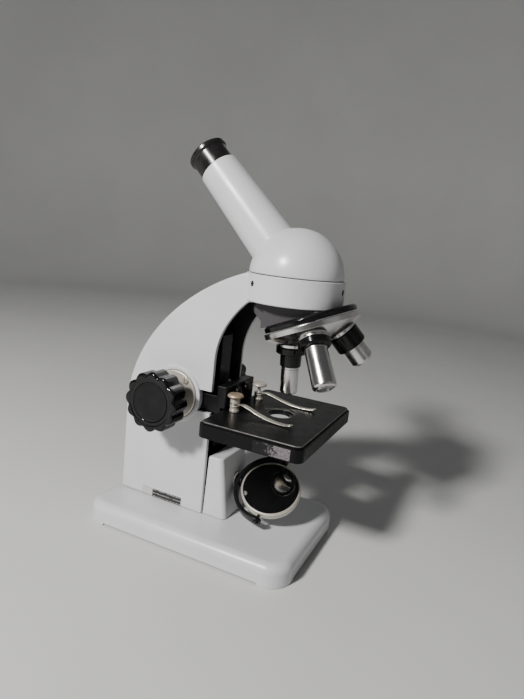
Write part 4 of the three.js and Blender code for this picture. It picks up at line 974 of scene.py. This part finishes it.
OBJECTIVES = (
    ("low", 53.2, 6.9, 62.2, 5.85, 80.7, 5.85),
    ("high", 52, 9.7, 53.2, 6.9, 79.4, 7.3),
    ("medium", 58.6, 9.7, 59.6, 7.6, 72.2, 7.6),
)
for k, (name, flange_end, neck_radius, end, radius, tip, tip_radius) in enumerate(OBJECTIVES):
    place = ON_TURRET @ along_objective(k)
    neck = [(4, THREAD_START), (THREAD, THREAD_START, 0.3), (THREAD, FLANGE_START)]
    neck += [(FLANGE, FLANGE_START, 0.3), (FLANGE, flange_end, 0.5), (neck_radius + 0.2, flange_end, 0.2)]
    neck += [(neck_radius, end, 0.8), (radius + 0.25, end, 0.1), (4, end)]
    node = f"objective_{name}_neck"
    piece(f"neck_{name}", lathe(neck, 96), GLOSS_BLACK, "turret", [node], place=place)
    barrel = [(4.4, end + 0.05), (radius, end + 0.05, 0.15), (radius, end + 1.3, 0.1)]
    barrel += [(radius - 0.25, end + 1.45), (radius - 0.25, end + 1.75), (radius, end + 1.9, 0.1)]
    if tip_radius > 7.5:
        barrel += [(tip_radius, tip - 1.9, 0.3), (tip_radius - 0.95, tip - 0.8, 0.3)]
        barrel += [(tip_radius - 1.8, tip, 0.3)]
    elif tip_radius > 7:
        barrel += [(tip_radius, tip - 2.3, 0.5), (tip_radius - 0.5, tip - 1.2, 0.7)]
        barrel += [(tip_radius - 1.9, tip - 0.5, 0.3), (tip_radius - 2.1, tip - 0.9, 0.1)]
        barrel += [(tip_radius - 2.5, tip - 0.9, 0.1), (tip_radius - 2.6, tip, 0.2)]
    else:
        barrel += [(tip_radius, tip - 0.7, 0.3), (tip_radius - 0.7, tip, 0.2)]
    barrel += [(3.6, tip, 0.15), (3.6, tip - 1), (4.4, tip - 1)]
    node = f"objective_{name}_barrel"
    piece(f"barrel_{name}", lathe(barrel, 96), CHROME, "turret", [node], place=place)
    glass = [(0, tip - 4), (4.3, tip - 4), (4.3, tip - 1.1), (3, tip - 0.95)]
    glass += [(1.5, tip - 0.82), (0, tip - 0.8)]
    node = f"objective_{name}_lens"
    piece(f"lens_{name}", lathe(glass, 48), GLASS, "turret", [node], place=place)

# ---- head and eyepiece

DOME, SPIGOT, TUBE_TILT = 29.8, 24.2, 45
ON_HEAD = shift(*HEAD)
ON_TUBE = ON_HEAD @ turn(-TUBE_TILT, "Y")


def ball(radius, start, end, steps):
    """Points of a circle about the middle, between two angles above level."""
    angles = [math.radians(start + (end - start) * i / steps) for i in range(steps + 1)]
    points = [(radius * math.cos(a), radius * math.sin(a)) for a in angles]
    return [(0 if r < 1e-6 else r, z) for r, z in points]


dome = [*ball(DOME, 90, 3, 30), (29.62, 0.8, 0.1), (29.2, 0.45, 0.15), (SPIGOT, 0.45), (SPIGOT, -3.8)]
dome += [(23.3, -4.3), (23.3, -7.7), (SPIGOT, -8.2), (SPIGOT, -11, 0.4), (21.6, -11), (21.6, 1.5)]
dome += ball(27, 4, 90, 16)
shape = lathe(dome, 160)
piece("dome_cover", shape, PAINT, "head", ["head_dome"], place=ON_HEAD, angle=50)


def tube_shape():
    outer, fillet = 15.5, 1.4
    level = math.sqrt((DOME + fillet) ** 2 - (outer + fillet) ** 2)
    meet = math.atan2(level, outer + fillet)
    sweep = []
    for i in range(7):
        angle = math.pi + meet + (math.pi - (math.pi + meet)) * i / 6
        sweep.append((outer + fillet + fillet * math.cos(angle), level + fillet * math.sin(angle)))
    profile = [(11.8, 23), (13.4, 23), *sweep, (13.05, 87.8, 0.9), (11.8, 87.8, 0.3)]
    return lathe(profile, 144)


piece("tube", tube_shape(), PAINT, "head", ["eyepiece_tube"], place=ON_TUBE, angle=60)
eyepiece = [(9.6, 60.1), (11.6, 60.1, 0.3), (11.6, 87.9), (12.1, 87.95, 0.2), (12.1, 98.9, 0.9)]
eyepiece += [(13.3, 99.6, 0.4), (13.3, 101.6, 0.6), (12.2, 102.6, 0.6), (11.2, 102.4, 0.5)]
eyepiece += [(7, 99.6, 0.3), (7, 98.1), (9.6, 98.1)]
node = "eyepiece_barrel"
piece("eyepiece", lathe(eyepiece, 128), EYE_BLACK, "eyepiece", [node], place=ON_TUBE)
for name, node, low, bulge in (("eye_glass", "eye_lens", 94.1, 1.6), ("field_glass", "field_lens", 61.1, 2)):
    quarter = [math.pi / 2 * i / 10 for i in range(11)]
    face = [(9.4 * math.cos(a), low + 2 + bulge * math.sin(a)) for a in quarter]
    glass = lathe([(0, low), (9.4, low), *face[:-1], (0, low + 2 + bulge)], 64)
    piece(name, glass, GLASS, "eyepiece", [node], place=ON_TUBE)

# ---- mirror

SWIVEL, TILT = 34, 6
ON_FORK = shift(*FORK) @ turn(SWIVEL, "X")
ON_MIRROR = ON_FORK @ turn(TILT, "Y")
FORK_INNER, FORK_OUTER = 22.7, 25.3


def fork_shape():
    middle = (FORK_INNER + FORK_OUTER) / 2
    line = [(3 - 0.25 * i, middle) for i in range(13)]
    line += [(-middle * math.sin(a), middle * math.cos(a)) for a in [math.pi * i / 60 for i in range(61)]]
    line += [(0.25 * i, -middle) for i in range(13)]
    widths = []
    for x, _ in line:
        left = 3.05 - x if x > -0.6 else 3.6
        widths.append(math.sqrt(max(0.05, 3.6**2 - (3.6 - min(3.6, left)) ** 2)))
    return moved(strap(line, widths, FORK_OUTER - FORK_INNER, 0.5), turn(-90, "X"))


piece("fork", fork_shape(), MACHINE_BLACK, "mirror_fork", ["mirror_fork"], place=ON_FORK)
back = FORK.x - BASE_X
stem = [(0, 4.5 - back), (2, 4.5 - back, 0.3), (2, 15.7 - back), (4.4, 15.7 - back, 0.3)]
stem += [(4.4, -25.45, 0.3), (2, -25.45)]
stem += [(2, -22.4), (3.6, -22.4, 0.2), (3.6, -21.6, 0.6), (0, -21.1)]
place = ON_FORK @ ALONG_X
piece("swivel_pin", lathe(stem, 64), MACHINE_BLACK, "mirror_fork", ["fork_pin"], place=place)

half = 2.8
ring = [(18.9, half, 0.1), (19.6, half, 0.4), (20.3, 2.0, 0.35), (20.3, 0.75, 0.2), (20.0, 0.6), (20.0, 0.25)]
ring += [(20.3, 0.1, 0.2), (20.3, -2.0, 0.35), (19.6, -half, 0.4), (18.9, -half, 0.1), (18.9, -0.5)]
ring += [(18.1, -0.5), (18.1, 0.5), (18.9, 0.5)]
piece("mirror_rim", lathe(ring, 144), NICKEL, "mirror", ["mirror_ring"], place=ON_MIRROR)
# A gloss-black hoop over each glass's edge inside the rim: painted shade for the dark gap between rim and
# glass.
for name, sign in (("flat", 1), ("dished", -1)):
    hoop = [(18.2, 2.2), (18.86, 2.2), (18.86, 2.6, 0.15), (18.2, 2.5, 0.15)]
    lay = ON_MIRROR @ turn(90 - 90 * sign, "X")
    piece(f"{name}_shade_hoop", lathe(hoop, 144), GLOSS_BLACK, "mirror", place=lay)
plane = [(0, 0.55), (18.8, 0.55), (18.8, 2.15, 0.3), (0, 2.15)]
piece("flat_glass", lathe(plane, 96), SILVER, "mirror", ["plane_mirror"], place=ON_MIRROR)
dish = [(18.6 * i / 12, -2.15 + 0.6 * (1 - (i / 12) ** 2)) for i in range(13)]
dish = [(0, -0.55), (18.8, -0.55), (18.8, -2.1), *reversed(dish)]
piece("dished_glass", lathe(dish, 96), SILVER, "mirror", ["concave_mirror"], place=ON_MIRROR)
for name, sign in SIDES:
    screw = [(0, 19.8), (1, 19.8), (1, 25.35), (1.9, 25.35, 0.1), (1.9, 26.1, 0.35), (0, 26.5)]
    place = ON_FORK @ turn(-90 * sign, "X")
    node = f"pivot_screw_{name}"
    piece(f"tilt_screw_{name}", lathe(screw, 40), MACHINE_BLACK, "mirror_fork", [node], place=place)

# ---- stickers


def sticker(name, ground, bars, low, high):
    """A printed sticker with two plain bars on it, between two heights in metres."""
    n = Nodes(name)
    level = n.spread(n.along("Z"), low, high)
    wave = n.math("SINE", n.math("MULTIPLY", level, 15.7))
    stripe = n.math("MULTIPLY", n.math("GREATER_THAN", wave, 0.55), 0.8)
    worn = n.spread(n.noise(1400, 3, 0.7), 0.45, 0.55)
    base = n.mix(n.math("MULTIPLY", stripe, worn), ground, bars)
    return n.set(Base_Color=base, Roughness=n.spread(n.noise(500, 3), 0.3, 0.7, 0.3, 0.5))


def foil(name):
    """The torn remains of a metallic sticker over black paint."""
    n = Nodes(name)
    whole = n.spread(n.along("X"), FOIL_X[0] * MM, FOIL_X[1] * MM, -0.2, 0.3)
    torn = n.noise(330, 6, 0.75, distortion=0.8)
    left = n.spread(n.math("ADD", torn, whole), 0.5, 0.56)
    tone = n.mix(n.spread(n.noise(900, 4, 0.7), 0.35, 0.65), (0.10, 0.085, 0.095), (0.27, 0.24, 0.255))
    base = n.mix(left, (0.008, 0.008, 0.0085), tone)
    n.set(Base_Color=base, Metallic=n.math("MULTIPLY", left, 0.55), Specular_IOR_Level=0.2)
    return n.set(Roughness=n.spread(torn, 0.3, 0.7, 0.35, 0.55), Normal=n.bump(left, 0.4, 0.05))


def patch(x, z, corner, face, thickness, edge):
    """A thin upright patch whose outer side lies that far out on the near side."""
    outline = rounded_rectangle(*x, *z, corner, 4)
    return moved(slab(outline, face - thickness, face, edge), ALONG_Y)


LABEL_X, LABEL_Z, LABEL_FACE = (-40, -16), (15.4, 21.4), ARM_HALF + 0.12
BLANK_X, BLANK_Z = (-48.6, -40.3), (16.2, 21.9)
LABEL = sticker("label_print", (0.012, 0.012, 0.013), (0.42, 0.40, 0.38), LABEL_Z[0] * MM, LABEL_Z[1] * MM)
shape = patch(LABEL_X, LABEL_Z, 0.6, LABEL_FACE, 0.14, 0.05)
piece("plain_label", shape, LABEL, "frame", place=ON_BASE)
BLANK = enamel("label_blank", (0.50, 0.50, 0.48), (0.30, 0.30, 0.30), (0.4, 0.55))
shape = patch(BLANK_X, BLANK_Z, 0.8, LABEL_FACE, 0.14, 0.05)
piece("blank_label", shape, BLANK, "frame", place=ON_BASE)
FOIL_X, FOIL_Z = (46 + BASE_X, 69.5 + BASE_X), (STAGE_LOW.z + 0.8, STAGE_HIGH.z - 2.4)
shape = patch(FOIL_X, FOIL_Z, 0.4, 0.1 - STAGE_LOW.y, 0.2, 0.04)
piece("foil_remains", shape, foil("torn_foil"), "stage")

# ---- pieces kept as the frame has them

KEPT = {
    "pinion_shaft": STEEL,
    "pinion_gear": BRASS,
    "rack": BRASS,
    "prism": GLASS,
    "arm_bolt_rear": STEEL,
    "arm_bolt_front": STEEL,
    "pillar_bolt": STEEL,
}
for node, material in KEPT.items():
    kept = frame["nodes"][node]
    kept.data.materials.clear()
    kept.data.materials.append(material)

# ---- floor, light and camera


def studio_floor():
    n = Nodes("studio_floor")
    base = n.mix(n.spread(n.noise(3, 4), 0.35, 0.7), (0.60, 0.60, 0.59), (0.56, 0.56, 0.555))
    n.set(Base_Color=base, Roughness=n.spread(n.noise(40, 4), 0.3, 0.7, 0.55, 0.7), Specular_IOR_Level=0.3)
    quarter = [math.pi / 2 * i / 12 for i in range(13)]
    wall = [(1.5 + 0.5 * math.sin(a), 0.5 - 0.5 * math.cos(a)) for a in quarter]
    profile = [(0, 0), *wall, (2.0, 1.5)]
    rings = [[Vector((0, 0, 0))]]
    circle = [math.tau * i / 96 for i in range(96)]
    for r, z in profile[1:]:
        rings.append([Vector((r * math.cos(a), r * math.sin(a), z)) for a in circle])
    mesh = bpy.data.meshes.new("studio_floor")
    bm = skin(rings, capped=False)
    bmesh.ops.reverse_faces(bm, faces=bm.faces)
    bm.to_mesh(mesh)
    bm.free()
    mesh.materials.append(n.material)
    mesh.polygons.foreach_set("use_smooth", [True] * len(mesh.polygons))
    made = bpy.data.objects.new("studio_floor", mesh)
    bpy.context.scene.collection.objects.link(made)


studio_floor()

low, high = CAD_BOX
MIDDLE = (low + high) / 2


def softbox(name, direction, distance, size, power, colour=(1, 1, 1)):
    """A soft light that shines along direction onto the middle of the object."""
    direction = Vector(direction).normalized()
    lamp = bpy.data.lights.new(name, "AREA")
    lamp.shape = "RECTANGLE"
    lamp.size, lamp.size_y = size
    lamp.energy = power
    lamp.color = colour
    holder = bpy.data.objects.new(name, lamp)
    holder.location = MIDDLE - direction * distance
    holder.rotation_mode = "QUATERNION"
    holder.rotation_quaternion = direction.to_track_quat("-Z", "Y")
    bpy.context.scene.collection.objects.link(holder)


softbox("key", (0.24, 0.79, -0.57), 1.1, (0.15, 0.13), 21, (1.0, 0.985, 0.96))
softbox("fill", (-0.75, 0.35, -0.45), 1.2, (0.8, 0.8), 0.3, (0.93, 0.97, 1.0))
softbox("rim", (0.35, -0.75, -0.55), 1.2, (0.7, 0.5), 0.4)

world = bpy.data.worlds.new("studio")
world.use_nodes = True
sky = world.node_tree.nodes["Background"]
sky.inputs["Color"].default_value = (0.86, 0.90, 0.93, 1)
sky.inputs["Strength"].default_value = 0.1
bpy.context.scene.world = world

AZIMUTH, ELEVATION, ROLL, LENS = 23.84, 11.23, 6.19, 27.37
azimuth, elevation, roll = (math.radians(a) for a in (AZIMUTH, ELEVATION, ROLL))
level = math.cos(elevation)
back = Vector((math.sin(azimuth) * level, -math.cos(azimuth) * level, math.sin(elevation)))
right = Vector((math.cos(azimuth), math.sin(azimuth), 0))
up = back.cross(right)
across = right * math.cos(roll) + up * math.sin(roll)
upright = up * math.cos(roll) - right * math.sin(roll)
camera = bpy.data.objects.new("camera", bpy.data.cameras.new("camera"))
camera.data.lens = LENS
camera.data.sensor_width = 36
camera.data.clip_start = 0.01
camera.data.clip_end = 20
camera.matrix_world = Matrix((across, upright, back)).transposed().to_4x4()
camera.location = Vector((BASE_X + 162.27, -313.71, 199.28)) * MM
bpy.context.scene.collection.objects.link(camera)
bpy.context.scene.camera = camera
